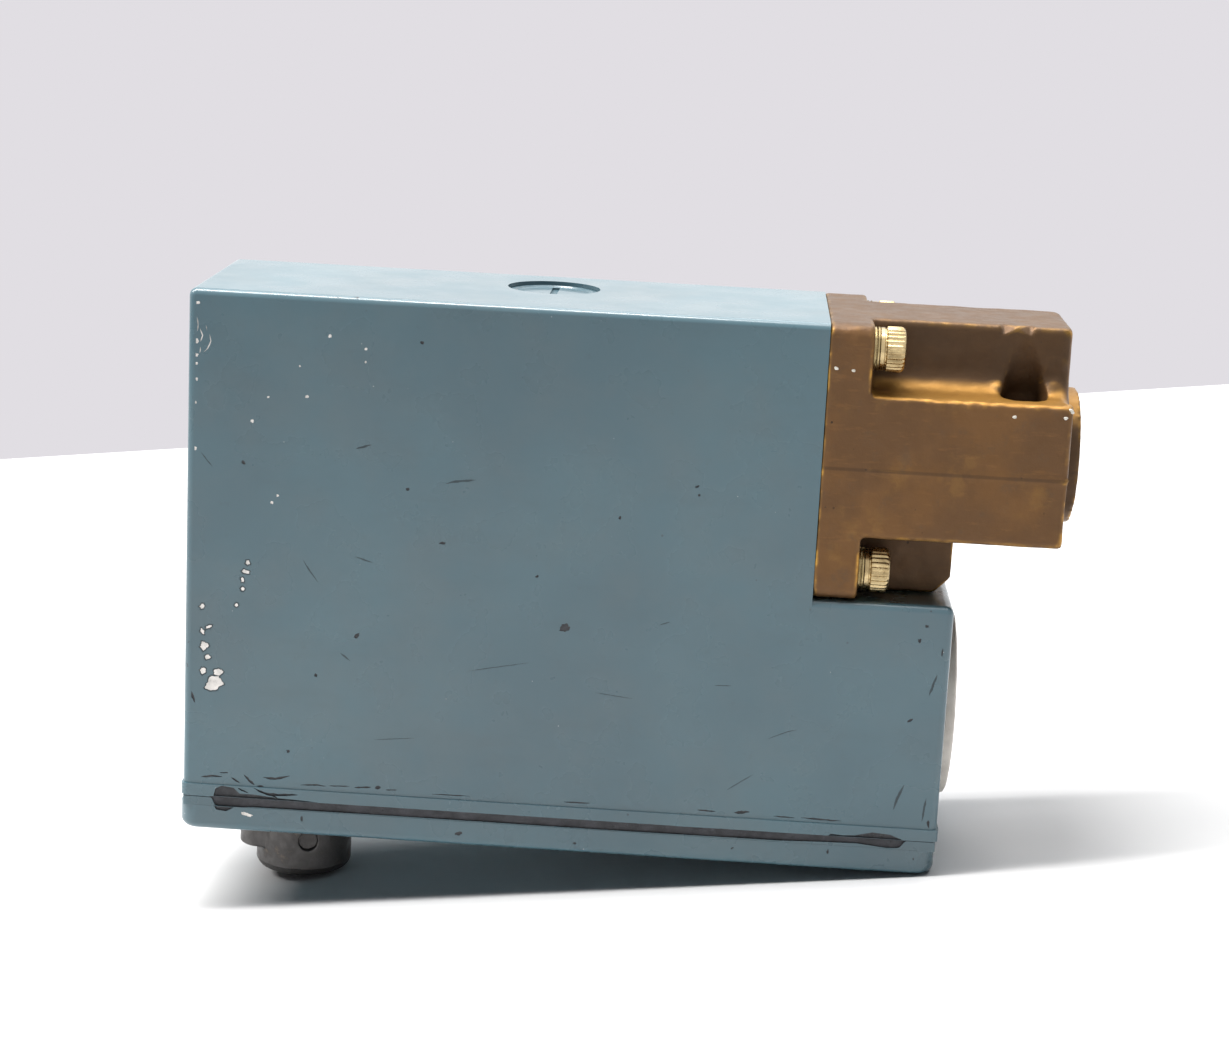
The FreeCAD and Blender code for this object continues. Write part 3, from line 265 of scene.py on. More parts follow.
def forged_brass(name):
    """Tarnished brass forging, rubbed bright on its edges."""
    finish = Finish(name, Specular_IOR_Level=0.5)
    base = finish.blend(finish.step(finish.grain(11, 4, 0.6), 0.38, 0.62), colour("61452A"), colour("6C4C2B"))
    base = finish.blend(finish.step(finish.grain(3.2, 5, 0.7), 0.54, 0.74, 0, 0.6), base, colour("5B4632"))
    streak = finish.grain(0.9, 4, 0.6, finish.stretched(0.25, 1, 1))
    base = finish.blend(finish.step(streak, 0.55, 0.75, 0, 0.22), base, colour("8C6338"))
    point = finish.add("NewGeometry").outputs["Pointiness"]
    rubbed = finish.maths("MULTIPLY", finish.step(point, 0.512, 0.545),
                          finish.step(finish.grain(2.4, 4), 0.42, 0.68, 0.1, 0.9))
    polished = finish.maths("MULTIPLY", finish.step(finish.grain(7, 4, 0.6), 0.5, 0.72, 0, 0.09),
                            finish.step(finish.grain(1.6, 4), 0.4, 0.62))
    shine = finish.maths("MAXIMUM", rubbed, polished)
    base = finish.blend(shine, base, colour("C6974A"))
    spot = finish.add("SeparateXYZ", (finish.place,)).outputs
    facing = finish.add("SeparateXYZ", (finish.normal,)).outputs
    # Painted shade: near-facing faces set back behind the near face, such as the rib's wall, are darkened.
    setback_shade = finish.maths("MULTIPLY", finish.step(spot[1], DATUM.y + 4.4 * MM, DATUM.y + 5.4 * MM, 0, 0.62),
                             finish.step(facing[1], -0.5, -0.8))
    base = finish.blend(setback_shade, base, colour("2E2216"))
    upward = finish.step(facing[2], 0.45, 0.85)
    lofty = finish.step(spot[2], DATUM.z - 8 * MM, DATUM.z - 3 * MM)
    # Painted shade: up-facing faces near the top of the block are darkened to tone down how bright the lamp
    # makes them.
    top_shade = finish.maths("MULTIPLY", upward, finish.maths("MULTIPLY", lofty, 0.55))
    base = finish.blend(top_shade, base, colour("53402F"))
    # Painted highlight: up-facing faces lower on the block, such as the ledge, are coloured bright gold.
    ledge_highlight = finish.maths("MULTIPLY", upward, finish.maths("MULTIPLY_ADD", lofty, -0.7, 0.7))
    base = finish.blend(ledge_highlight, base, colour("A87A30"))
    line = finish.maths("ABSOLUTE", finish.maths("SUBTRACT", spot[2], DATUM.z - 22.2 * MM))
    base = finish.blend(finish.step(line, 0.4 * MM, 0.12 * MM, 0, 0.4), base, colour("34261A"))
    # Painted shade: the hollows, where the pointiness is low, are darkened.
    base = finish.blend(finish.step(point, 0.485, 0.44, 0, 0.8), base, colour("33261A"))
    pits = finish.maths("MULTIPLY", finish.step(finish.cells(1.9), 0.11, 0.06),
                        finish.step(finish.grain(9, 3), 0.5, 0.62))
    base = finish.blend(pits, base, colour("2F2419"))
    finish.raise_by(finish.grain(0.5, 4, 0.6), 0.035)
    finish.raise_by(finish.grain(2.6, 4, 0.55), 0.09)
    finish.raise_by(finish.maths("SUBTRACT", 1.0, pits), 0.08)
    metallic = finish.maths("MULTIPLY_ADD", shine, 0.4, 0.6)
    finish.tree.links.new(metallic, finish.shader.inputs["Metallic"])
    roughness = finish.step(finish.grain(2.6, 5, 0.65), 0.3, 0.7, 0.42, 0.56)
    return finish.finish(base, finish.maths("MULTIPLY_ADD", shine, -0.16, roughness))


def metal(name, main, shade, size, rough, stretch=(1, 1, 1), stain=None, relief=0.01):
    """Plated or machined metal: fine directional grain, clouded patches and a few stains."""
    finish = Finish(name, Metallic=1.0)
    along = finish.stretched(*stretch)
    base = finish.blend(finish.step(finish.grain(size * 6, 4), 0.35, 0.65), colour(main), colour(shade))
    base = finish.blend(finish.step(finish.grain(size, 4, 0.65, along), 0.5, 0.75, 0, 0.4), base, colour(shade))
    if stain:
        spread = finish.step(finish.grain(size * 3, 5, 0.7), 0.58, 0.72, 0, 0.8)
        base = finish.blend(spread, base, colour(stain))
    finish.raise_by(finish.grain(size * 0.4, 4, 0.6, along), relief)
    roughness = finish.step(finish.grain(size * 1.5, 4, 0.6, along), 0.3, 0.7, rough - 0.08, rough + 0.1)
    return finish.finish(base, roughness)


def matt(name, main, shade, size, rough, relief=0.02, grime=None):
    """Moulded plastic, rubber or fibre: fine skin texture with slow colour drift and grime."""
    finish = Finish(name)
    base = finish.blend(finish.step(finish.grain(size * 9, 3), 0.3, 0.7), colour(main), colour(shade))
    base = finish.blend(finish.step(finish.grain(size, 4, 0.7), 0.55, 0.8, 0, 0.35), base, colour(shade))
    if grime:
        spread = finish.step(finish.grain(size * 5, 5, 0.75), 0.55, 0.75, 0, 0.55)
        base = finish.blend(spread, base, colour(grime))
    finish.raise_by(finish.grain(size, 4, 0.65), relief)
    finish.raise_by(finish.maths("SUBTRACT", 1.0, finish.step(finish.cells(size * 6), 0.12, 0.06)), relief)
    roughness = finish.step(finish.grain(size * 3, 4), 0.3, 0.7, rough - 0.07, rough + 0.1)
    return finish.finish(base, roughness)


PAINT = teal_paint("teal_paint")
BRASS = forged_brass("forged_brass")
PRIMER = metal("chipped_metal", "D6D2CE", "C2BFBB", 0.3, 0.5, (1, 1, 1), "A3A29F", 0.02)
BARE = matt("bare_casting", "28292D", "3C3D41", 0.2, 0.55, 0.03, "6A6A68")
THIN = matt("thin_paint", "36474E", "2C3C42", 0.3, 0.4, 0.01, "4C5D63")
SPLASH = matt("paint_splash", "EFEBE0", "D8D3C4", 0.2, 0.5, 0.01)
ZINC = metal("zinc_steel", "A9ABA6", "8C8D88", 0.8, 0.34, (0.3, 1, 1), "7C7361")
SCREW = metal("screw_steel", "C2AD83", "9A8560", 0.5, 0.28, (1, 1, 1), "7A6B50")
SPRINGY = metal("spring_steel", "6E6F72", "4C4D50", 0.6, 0.36, (1, 1, 0.2), "4B3B2C")
BRIGHT = metal("bright_steel", "BFC0C0", "9A9C9E", 0.4, 0.22, (0.2, 1, 1))
WASHER = metal("washer_steel", "B5A27A", "8A7852", 0.4, 0.33, (1, 1, 1), "6B5B45")
LEVER = metal("lever_steel", "9C9D9B", "80817E", 0.7, 0.36, (1, 1, 0.3), "6E6553")
CONTACT = metal("contact_brass", "C8A460", "9F7F45", 0.4, 0.3, (1, 1, 0.3), "6C5330")
KNOB = metal("knob_metal", "5F5D5C", "4D4B4A", 1.2, 0.5, (1, 1, 1), "7A7066", 0.05)
FIBRE = matt("gasket_fibre", "4A4A4E", "3A3A3D", 0.3, 0.75, 0.05, "5F5F62")
RUBBER = matt("seal_rubber", "1E1E1F", "2A2A2A", 0.3, 0.6, 0.01, "3B3733")
SWITCH = matt("switch_plastic", "3A2A20", "2D211A", 0.25, 0.42, 0.008, "4F4236")
PLUNGER = matt("plunger_plastic", "A12E22", "8A251C", 0.25, 0.4, 0.006, "6F3028")
BLOCK = matt("block_plastic", "D9D2BE", "C7BFA9", 0.3, 0.45, 0.01, "A69A80")
ENTRY = matt("entry_plug_plastic", "DCD5CC", "C9C1B8", 0.35, 0.5, 0.015, "A89E92")
BROWN = matt("wire_brown", "5A3420", "4B2B1A", 0.3, 0.42, 0.008)
BLUE = matt("wire_blue", "2C4E86", "24416F", 0.3, 0.42, 0.008)
BLACK = matt("wire_black", "202022", "2B2B2E", 0.3, 0.42, 0.008)

CAD_FINISHES = {
    PAINT: ["housing", "cover", "access_plug"],
    FIBRE: ["cover_gasket"],
    BRASS: ["port_block"],
    ZINC: ["mechanism_plate", "mechanism_screws", "microswitch_screws", "terminal_block_screws", "earth_screw",
           "earth_washer", "cover_screws", "pivot_clip", "spindle_clip", "trip_lock_nut"],
    SCREW: ["port_block_screws"],
    WASHER: ["port_block_spring_washers"],
    BRIGHT: ["piston", "push_rod", "setting_spindle", "pivot_stud", "spring_nut"],
    SPRINGY: ["range_spring"],
    LEVER: ["lever", "upper_spring_cup", "trip_screw"],
    CONTACT: ["microswitch_blades", "terminal_cages", "terminal_screws"],
    RUBBER: ["piston_seal", "spindle_seal", "access_plug_seal", "cable_entry_seal"],
    SWITCH: ["microswitch_body"],
    PLUNGER: ["microswitch_plunger"],
    BLOCK: ["terminal_block"],
    ENTRY: ["cable_entry_plug"],
    KNOB: ["setting_knob", "knob_grub_screw"],
    BROWN: ["wire_common"],
    BLUE: ["wire_normally_open"],
    BLACK: ["wire_normally_closed"],
}
LAYERS = [PAINT, THIN, PRIMER, BARE]


def dress(mesh, material):
    """Gives a mesh one material. A painted mesh also has slots for the layers that its wells open."""
    mesh.materials.clear()
    for layer in LAYERS if material == PAINT else [material]:
        mesh.materials.append(layer)


for material, names in CAD_FINISHES.items():
    for name in names:
        dress(nodes[name].data, material)


# ---------------------------------------------------------------- mesh helpers

def as_piece(name, work, material, body="housing", replaced=()):
    """Turns a bmesh, built in metres in the row frame, into a piece that rides a body."""
    mesh = bpy.data.meshes.new(name)
    dress(mesh, material)
    work.to_mesh(mesh)
    work.free()
    piece = bpy.data.objects.new(name, mesh)
    scene.collection.objects.link(piece)
    if body:
        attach(piece, body)
        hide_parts(*replaced)
    return piece


def welded(node):
    """A bmesh of a CAD node with its split corners joined again."""
    work = bmesh.new()
    work.from_mesh(nodes[node].data)
    bmesh.ops.remove_doubles(work, verts=work.verts, dist=1e-7)
    for layer in list(work.loops.layers.float_vector) + list(work.loops.layers.uv):
        if layer.name == "custom_normal":
            work.loops.layers.float_vector.remove(layer)
    return work


def bake(piece):
    """Applies the piece's modifiers to its mesh."""
    graph = bpy.context.evaluated_depsgraph_get()
    mesh = bpy.data.meshes.new_from_object(piece.evaluated_get(graph), depsgraph=graph)
    piece.modifiers.clear()
    piece.data = mesh


def cut_away(piece, cutter):
    """Takes the cutter's volume off the piece. The new faces keep the cutter's materials."""
    change = piece.modifiers.new("cut", "BOOLEAN")
    change.operation = "DIFFERENCE"
    change.solver = "MANIFOLD"
    change.object = cutter
    bake(piece)
    bpy.data.objects.remove(cutter)


def crisp(piece, angle=32):
    """Smooth shading that breaks at edges sharper than angle, with flat faces kept flat."""
    work = bmesh.new()
    work.from_mesh(piece.data)
    for face in work.faces:
        face.smooth = True
    for edge in work.edges:
        edge.smooth = edge.calc_face_angle(math.pi) < math.radians(angle)
    work.to_mesh(piece.data)
    work.free()
    change = piece.modifiers.new("normals", "WEIGHTED_NORMAL")
    change.keep_sharp = True


def ring_of(work, points):
    return [work.verts.new(point) for point in points]


def bridge(work, first, second):
    """Faces between two rings of the same count."""
    count = len(first)
    return [work.faces.new((first[i], first[(i + 1) % count], second[(i + 1) % count], second[i]))
            for i in range(count)]


def turned(work, centre, axis, rows, count, start=0.0):
    """A solid of revolution from rows of (height, radius) in millimetres; radius may depend on the angle."""
    side = Vector((0, 1, 0)) if abs(axis.x) > 0.5 else Vector((1, 0, 0))
    other = axis.cross(side)
    rings = []
    for height, radius in rows:
        ring = []
        for index in range(count):
            angle = start + 2 * math.pi * index / count
            reach = radius(angle) if callable(radius) else radius
            spoke = side * math.cos(angle) + other * math.sin(angle)
            ring.append(centre + (axis * height + spoke * reach) * MM)
        rings.append(ring_of(work, ring))
    for low, high in zip(rings, rings[1:]):
        bridge(work, low, high)
    work.faces.new(list(reversed(rings[0])))
    work.faces.new(rings[-1])
    bmesh.ops.recalc_face_normals(work, faces=work.faces)


def ragged_ellipse(x, z, along, up, turn, seed, rough=0.3, count=26):
    """Points of an uneven patch on the near face, in millimetres."""
    points = []
    cosine, sine = math.cos(math.radians(turn)), math.sin(math.radians(turn))
    for index in range(count):
        angle = 2 * math.pi * index / count
        wave = noise.noise(Vector((math.cos(angle), math.sin(angle), seed * 3.17)) * 1.6)
        wave += 0.6 * noise.noise(Vector((math.cos(angle), math.sin(angle), seed * 1.73)) * 4.1)
        reach = 1 + rough * wave * 1.6
        across, high = along * reach * math.cos(angle), up * reach * math.sin(angle)
        points.append((x + across * cosine - high * sine, z + across * sine + high * cosine))
    return points


def ribbon(half, path, seed):
    """Outline of an uneven line with pointed ends, in millimetres."""
    walk = []
    for (x0, z0), (x1, z1) in zip(path, path[1:]):
        steps = max(2, int(math.hypot(x1 - x0, z1 - z0) / 0.3))
        walk += [(x0 + (x1 - x0) * i / steps, z0 + (z1 - z0) * i / steps) for i in range(steps)]
    walk.append(path[-1])
    upper, lower = [], []
    for index, (x, z) in enumerate(walk):
        before, after = walk[max(0, index - 1)], walk[min(len(walk) - 1, index + 1)]
        run = Vector((after[0] - before[0], after[1] - before[1])).normalized()
        share = index / (len(walk) - 1)
        swell = half * min(1, 0.15 + 3.4 * min(share, 1 - share))
        above = swell * (1 + 0.7 * noise.noise(Vector((x * 1.9, z * 1.9, seed))))
        below = swell * (1 + 0.7 * noise.noise(Vector((x * 1.9, z * 1.9, seed + 5.5))))
        upper.append((x - run.y * above, z + run.x * above))
        lower.append((x + run.y * below, z - run.x * below))
    return upper + list(reversed(lower))


def patches(layer, depth, ellipses=(), lines=(), extra=0.0, seed=0):
    """Wells of one paint layer and depth, each (layer, depth, outline)."""
    found = [ragged_ellipse(x, z, along + extra, up + extra, turn, seed + number)
             for number, (x, z, along, up, turn) in enumerate(ellipses)]
    found += [ribbon(half, path, seed + number) for number, (half, path) in enumerate(lines)]
    return [(layer, depth, outline) for outline in found]


def contains(edges, x, z):
    """True if the edges, which close in any order, go round the point."""
    crossed = sum((z0 > z) != (z1 > z) and x < x0 + (x1 - x0) * (z - z0) / (z1 - z0)
                  for (x0, z0), (x1, z1) in edges)
    return crossed % 2 == 1


def carve_face(work, level, low, high, wells):
    """Sinks wells in the flat near-facing faces at level, between heights low and high, with upright walls."""
    work.normal_update()
    region = {face for face in work.faces if face.normal.y < -0.99
              and abs((face.verts[0].co.y - DATUM.y) / MM - level) < 0.01
              and low < (face.calc_center_median().z - DATUM.z) / MM < high}
    rim = [edge for edge in work.edges if sum(face in region for face in edge.link_faces) == 1]
    corners = list(dict.fromkeys(vertex for edge in rim for vertex in edge.verts))
    number = {vertex: index for index, vertex in enumerate(corners)}
    flat = [((vertex.co.x - DATUM.x) / MM, (vertex.co.z - DATUM.z) / MM) for vertex in corners]
    links = [(number[edge.verts[0]], number[edge.verts[1]]) for edge in rim]
    bounds = [min(x for x, z in flat) + 0.25, max(x for x, z in flat) - 0.25,
              min(z for x, z in flat) + 0.03, max(z for x, z in flat) - 0.06]
    inside = []
    for layer, depth, outline in wells:
        outline = [(min(max(x, bounds[0]), bounds[1]), min(max(z, bounds[2]), bounds[3])) for x, z in outline]
        xs, zs = [x for x, z in outline], [z for x, z in outline]
        if max(xs) - min(xs) < 0.05 or max(zs) - min(zs) < 0.05:
            continue
        edges = list(zip(outline, outline[1:] + outline[:1]))
        inside.append((depth, layer, edges, min(xs), max(xs), min(zs), max(zs)))
        first = len(flat)
        flat += outline
        links += [(first + i, first + (i + 1) % len(outline)) for i in range(len(outline))]
    cells = geometry.delaunay_2d_cdt([Vector(spot) for spot in flat], links, [], 0, 1e-5, True)
    spots, triangles, sources = cells[0], cells[2], cells[3]
    border = [(flat[a], flat[b]) for a, b in links[:len(rim)]]

    def layer_at(x, z):
        depths = [(depth, layer) for depth, layer, edges, left, right, bottom, top in inside
                  if left < x < right and bottom < z < top and contains(edges, x, z)]
        return max(depths, default=(0, PAINT_LAYER))
    bmesh.ops.delete(work, geom=list(region), context="FACES_ONLY")
    made = {}

    def corner(index, depth):
        if (index, depth) not in made:
            own = [source for source in sources[index] if source < len(corners)]
            made[index, depth] = (corners[own[0]] if own and depth == 0
                                  else work.verts.new(place(spots[index].x, level + depth, spots[index].y)))
        return made[index, depth]
    sides = {}
    for a, b, c in triangles:
        x, z = (spots[a] + spots[b] + spots[c]) / 3
        if contains(border, x, z):
            depth, layer = layer_at(x, z)
            work.faces.new([corner(index, depth) for index in (a, b, c)]).material_index = layer
            sides.update({(a, b): (depth, layer), (b, c): (depth, layer), (c, a): (depth, layer)})
    for (a, b), (depth, layer) in sides.items():
        beyond, below = sides.get((b, a), (0, PAINT_LAYER))
        if beyond > depth:
            wall = work.faces.new((corner(a, depth), corner(a, beyond), corner(b, beyond), corner(b, depth)))
            wall.material_index = below
        elif (b, a) not in sides and depth > 0:
            wall = work.faces.new((corner(b, 0), corner(b, depth), corner(a, depth), corner(a, 0)))
            wall.material_index = layer


# ---------------------------------------------------------------- painted casting, cover and joint

def painted(node, name, faces):
    """The painted casting in place of its CAD node, with the marks of its flat near faces."""
    work = welded(node)
    corners = [edge for edge in work.edges
               if all(abs(vertex.co.y - DATUM.y - MIDDLE * MM) > (MIDDLE + 0.2) * MM for vertex in edge.verts)
               and (edge.verts[0].co - edge.verts[1].co).to_2d().length < 0.01 * MM]
    bmesh.ops.bevel(work, geom=corners, offset=1.1 * MM, segments=5, profile=0.5, affect="EDGES")
    for level, low, high, wells in faces:
        carve_face(work, level, low, high, wells)
    crisp(as_piece(name, work, PAINT, replaced=(node,)))


TEAR_DEPTH = 0.32
left_tear = [(5.2, -81.3)] + [p for p in TEAR_TOP if 5.0 < p[0] < 20] + [(22.0, -81.3)]
right_tear = [(103.0, -81.3)] + [p for p in TEAR_TOP if 103 < p[0] < 114.8] + [(114.7, -81.3)]
cover_tear = [(5.2, -82.6), (8.4, -82.6)] + [p for p in reversed(TEAR_BOTTOM) if 5.4 < p[0] < 8.5]
painted("housing", "housing_casting", [
    (0, -79, 0, patches(THIN_LAYER, 0.035, PRIMER_CHIPS, extra=0.22) + patches(THIN_LAYER, 0.03, (), SCRATCHES)
     + patches(PRIMER_LAYER, 0.07, PRIMER_CHIPS + SPECKS, RUBS)
     + patches(BARE_LAYER, 0.11, NICKS, CRACKS + LEDGE_DIRT, seed=40)),
    (-0.25, -82, -79, [(BARE_LAYER, TEAR_DEPTH, left_tear), (BARE_LAYER, TEAR_DEPTH, right_tear)]
     + patches(BARE_LAYER, TEAR_DEPTH, (), BAND_CRACKS, seed=70))])
painted("cover", "cover_casting", [
    (0, -86, -82, patches(PRIMER_LAYER, 0.06, COVER_CHIPS, seed=11)
     + patches(BARE_LAYER, 0.1, COVER_NICKS, seed=60) + [(BARE_LAYER, 0.3, cover_tear)])])


def build_gasket():
    """The fibre gasket, a little shrunk into its joint, with a frayed edge."""
    work = welded("cover_gasket")
    bmesh.ops.subdivide_edges(work, edges=[e for e in work.edges if e.calc_length() > 4 * MM], cuts=24)
    low, high = (Vector(corner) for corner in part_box("cover_gasket"))
    for vertex in work.verts:
        wave = 0.35 + 0.16 * noise.noise(vertex.co / MM * 0.8) + 0.1 * noise.noise(vertex.co / MM * 3)
        for axis in (0, 1):
            vertex.co[axis] = min(max(vertex.co[axis], low[axis] + wave * MM), high[axis] - wave * MM)
    piece = as_piece("gasket_sheet", work, FIBRE, replaced=("cover_gasket",))
    crisp(piece, 40)


def level_at(edge, along):
    """Height of an edge list at a place along it."""
    for (x0, z0), (x1, z1) in zip(edge, edge[1:]):
        if x0 <= along <= x1:
            return z0 + (z1 - z0) * (along - x0) / (x1 - x0)
    return edge[-1][1] if along > edge[-1][0] else edge[0][1]


def add_film(work, length, along_to_point, top_edge, bottom_edge, seed):
    """Two strips of paint that bridge the joint from above and from below, on one side of the casting."""
    count = int(length / 0.35)
    first = CORNER * (1 - math.sqrt(0.5))
    for edge, root in ((top_edge, SEAM_TOP + 0.04), (bottom_edge, SEAM_BOTTOM - 0.04)):
        rows = []
        for index in range(count + 1):
            along = first + (length - 2 * first) * index / count
            reach = max(0, CORNER - min(along, length - along))
            back = CORNER - math.sqrt(CORNER ** 2 - reach ** 2)
            tip = level_at(edge, along) + 0.05 * noise.noise(Vector((along * 2.2, seed, root)))
            tip = min(tip, root - 0.05) if edge is top_edge else max(tip, root + 0.05)
            curl = 0.05 + 0.05 * noise.noise(Vector((along * 0.9, seed + 3, root)))
            rows.append([work.verts.new(along_to_point(along, back + depth, height)) for depth, height in
                         ((0.03, root), (0.03 + curl, tip), (0.13 + curl, tip), (0.3, root))])
        for before, after in zip(rows, rows[1:]):
            bridge(work, before, after)
        work.faces.new(list(reversed(rows[0])))
        work.faces.new(rows[-1])


def build_film():
    """Paint that still bridges the joint, broken open along the near side and cracked elsewhere."""
    work = bmesh.new()
    shut_top, shut_bottom = [(0, -81.38), (200, -81.38)], [(0, -81.5), (200, -81.5)]
    add_film(work, LENGTH, lambda a, d, h: place(a, d, h), TEAR_TOP, TEAR_BOTTOM, 1)
    add_film(work, LENGTH, lambda a, d, h: place(a, WIDTH - d, h), shut_top, shut_bottom, 2)
    add_film(work, WIDTH, lambda a, d, h: place(d, a, h), shut_top, shut_bottom, 3)
    add_film(work, WIDTH, lambda a, d, h: place(LENGTH - d, a, h), shut_top, shut_bottom, 4)
    bmesh.ops.recalc_face_normals(work, faces=work.faces)
    piece = as_piece("joint_paint_film", work, PAINT)
    crisp(piece, 40)


build_gasket()
build_film()


# ---------------------------------------------------------------- brass block and knob

def remeshed(node, name, voxel, passes, material, body):
    """A fine even mesh of a CAD node, its edges eased by smoothing."""
    piece = as_piece(name, welded(node), material, body=body, replaced=(node,))
    change = piece.modifiers.new("even", "REMESH")
    change.mode, change.voxel_size, change.use_smooth_shade = "VOXEL", voxel * MM, True
    ease = piece.modifiers.new("ease", "SMOOTH")
    ease.factor, ease.iterations = 0.5, passes
    bake(piece)
    return piece


def bump_at(spot, middle, sizes):
    """1 at middle, falling to 0 by a few sizes away."""
    return math.exp(-sum(((spot[i] - middle[i]) / sizes[i]) ** 2 for i in range(3)))


def hammered_block():
    """The forging: parting line, folds by the mounting hole, dents, a peened corner and an opened bore."""
    block = remeshed("port_block", "port_block_forging", 0.4, 3, BRASS, "housing")
    low, high = span("port_block")
    folds = [((133.0, 6.5, -8.6), (1.1, 1.6, 1.0), 0.55), ((134.3, 5.0, -9.8), (0.8, 1.3, 0.7), 0.5),
             ((131.9, 7.6, -6.0), (0.7, 1.5, 1.2), 0.35), ((134.4, 7.8, -5.2), (0.9, 1.2, 0.9), 0.4),
             ((124.6, 7.5, -9.5), (1.2, 1.4, 0.8), 0.3), ((135.2, 2.0, -11.0), (0.8, 1.2, 0.7), 0.45)]
    moved = []
    for vertex in block.data.vertices:
        spot = (vertex.co - DATUM) / MM
        push = 0.1 * noise.noise(spot / 7) + 0.05 * noise.noise(spot / 2.3)
        edge = (bump_at(spot, (101.4, 1.2, -1.0), (5.5, 2.2, 2.2))
                + bump_at(spot, (120, 0.4, -11.2), (14, 1.2, 1.2)))
        push += edge * (0.28 * noise.noise(spot / 1.7) - 0.08)
        for middle, sizes, height in folds:
            push += height * bump_at(spot, middle, sizes)
        if spot.y < 0.6 and spot.x > 105:
            ridge = -22.0 + 0.35 * noise.noise(Vector((spot.x / 4, 0, 0)))
            push += 0.24 * math.exp(-((spot.z - ridge) / 0.4) ** 2) + (0.1 if spot.z < ridge else 0)
        moved.append(spot + vertex.normal * push)
    for vertex, spot in zip(block.data.vertices, moved):
        # A chamfer hammered over the rib above the mounting hole.
        lift = spot.z - (spot.y - 8.5)
        if abs(spot.x - 127) < 2.4 and -1.6 < lift and spot.y < 11 and spot.z > -3:
            excess = max(0, lift + 0.5 + 0.45 * abs(spot.x - 127)) / 2
            spot = spot + Vector((0, excess, -excess))
        # The bore's wall moves out behind the thread's sleeve.
        arm = Vector((0, spot.y - MIDDLE, spot.z - PORT_HEIGHT))
        if spot.x > high.x - 13.7 and 5.2 < arm.length < 6.95:
            spot = Vector((spot.x, MIDDLE, PORT_HEIGHT)) + arm.normalized() * 6.68
        for axis, slack in enumerate((0, 0.2, 0)):
            spot[axis] = min(max(spot[axis], low[axis] - slack), high[axis] + slack)
        vertex.co = place(*spot)
    return block


def port_thread():
    """The G1/4 thread as a sleeve in the bore. Its rows follow the helix, so a crest runs along one row."""
    reach, backing = 13.2, 6.9
    columns, per_turn = 84, 16
    mouth = (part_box("port_block")[1].x - DATUM.x) / MM - 0.25
    end = mouth - reach
    work = bmesh.new()

    def corner(x, index, radius):
        angle = 2 * math.pi * (index % columns) / columns
        return work.verts.new(place(x, MIDDLE + radius * math.cos(angle),
                                    PORT_HEIGHT + radius * math.sin(angle)))
    rows = []
    for row in range(math.ceil(per_turn * (reach / PITCH_G14 + 1)) + 1):
        line = []
        for index in range(columns + 1):
            x = min(max(mouth + PITCH_G14 * (index / columns - row / per_turn), end), mouth)
            phase = (x / PITCH_G14 - index / columns) % 1
            groove = min(1, max(0, 1.25 - 1.45 * abs(2 * phase - 1)))
            lead = max(0, 1 - (mouth - x) / 0.9)
            line.append(corner(x, index, MINOR_G14 + DEPTH_G14 * max(groove, lead)))
        rows.append(line)
    for first, second in zip(rows, rows[1:]):
        for index in range(columns):
            work.faces.new((first[index], first[index + 1], second[index + 1], second[index]))
    front, rear = [[corner(x, index, backing) for index in range(columns)] for x in (mouth, end)]
    bridge(work, front, rows[0][:-1])
    bridge(work, rows[-1][:-1], rear)
    bridge(work, rear, front)
    bmesh.ops.remove_doubles(work, verts=work.verts, dist=1e-7)
    bmesh.ops.recalc_face_normals(work, faces=work.faces)
    crisp(as_piece("port_thread", work, CONTACT), 50)


def splashes():
    """Drops of white paint on the brass."""
    work = bmesh.new()
    for seed, (x, y, z, size) in enumerate([(99.2, 0.0, -6.7, 0.34), (101.9, 0.0, -6.9, 0.28),
                                            (126.6, 0.0, -12.6, 0.3), (134.4, 0.0, -12.4, 0.3),
                                            (135.0, 0.5, -11.4, 0.55)]):
        centre = place(x, y, z)
        drop = bmesh.ops.create_icosphere(work, subdivisions=3, radius=size * MM,
                                          matrix=Matrix.Translation(centre))
        for vertex in drop["verts"]:
            away = vertex.co - centre
            wave = 1 + 0.5 * noise.noise(away / MM * 2.5 + Vector((seed * 4.1, 0, 0)))
            vertex.co = centre + Vector((away.x, away.y * 0.3, away.z * 0.8)) * wave
    for face in work.faces:
        face.smooth = True
    as_piece("paint_splashes", work, SPLASH)


def moulded_knob():
    """The knob, its edges eased and its bottom a little domed."""
    knob = remeshed("setting_knob", "setting_knob_moulding", 0.2, 4, KNOB, "setting_knob")
    low, high = span("setting_knob")
    spots = [(vertex.co - DATUM) / MM for vertex in knob.data.vertices]
    spots = [spot + vertex.normal * (0.05 * noise.noise(spot / 3) - 0.03)
             for spot, vertex in zip(spots, knob.data.vertices)]
    for vertex, spot in zip(knob.data.vertices, spots):
        reach = math.hypot(spot.x - KNOB_AXIS, spot.y - MIDDLE)
        if spot.z < low.z + 1.5:
            spot.z += 0.45 * (reach / 7.85) ** 2
        spot.z = min(max(spot.z, low.z), high.z)
        vertex.co = place(*spot)


hammered_block()
port_thread()
splashes()
moulded_knob()


# ---------------------------------------------------------------- screws, washers and plugs

def thread_rows(start, end, crest, depth, pitch, steps=4):
    """Rows of a helical thread from start to end."""
    rows, height = [], start
    while height < end:
        def radius(angle, height=height):
            phase = (height / pitch - angle / (2 * math.pi)) % 1
            return crest - depth * abs(2 * phase - 1)
        rows.append((height, radius))
        height += pitch / steps
    return rows


def hexagon_reach(flats):
    def radius(angle):
        return flats / 2 / math.cos((angle + math.pi / 6) % (math.pi / 3) - math.pi / 6)
    return radius


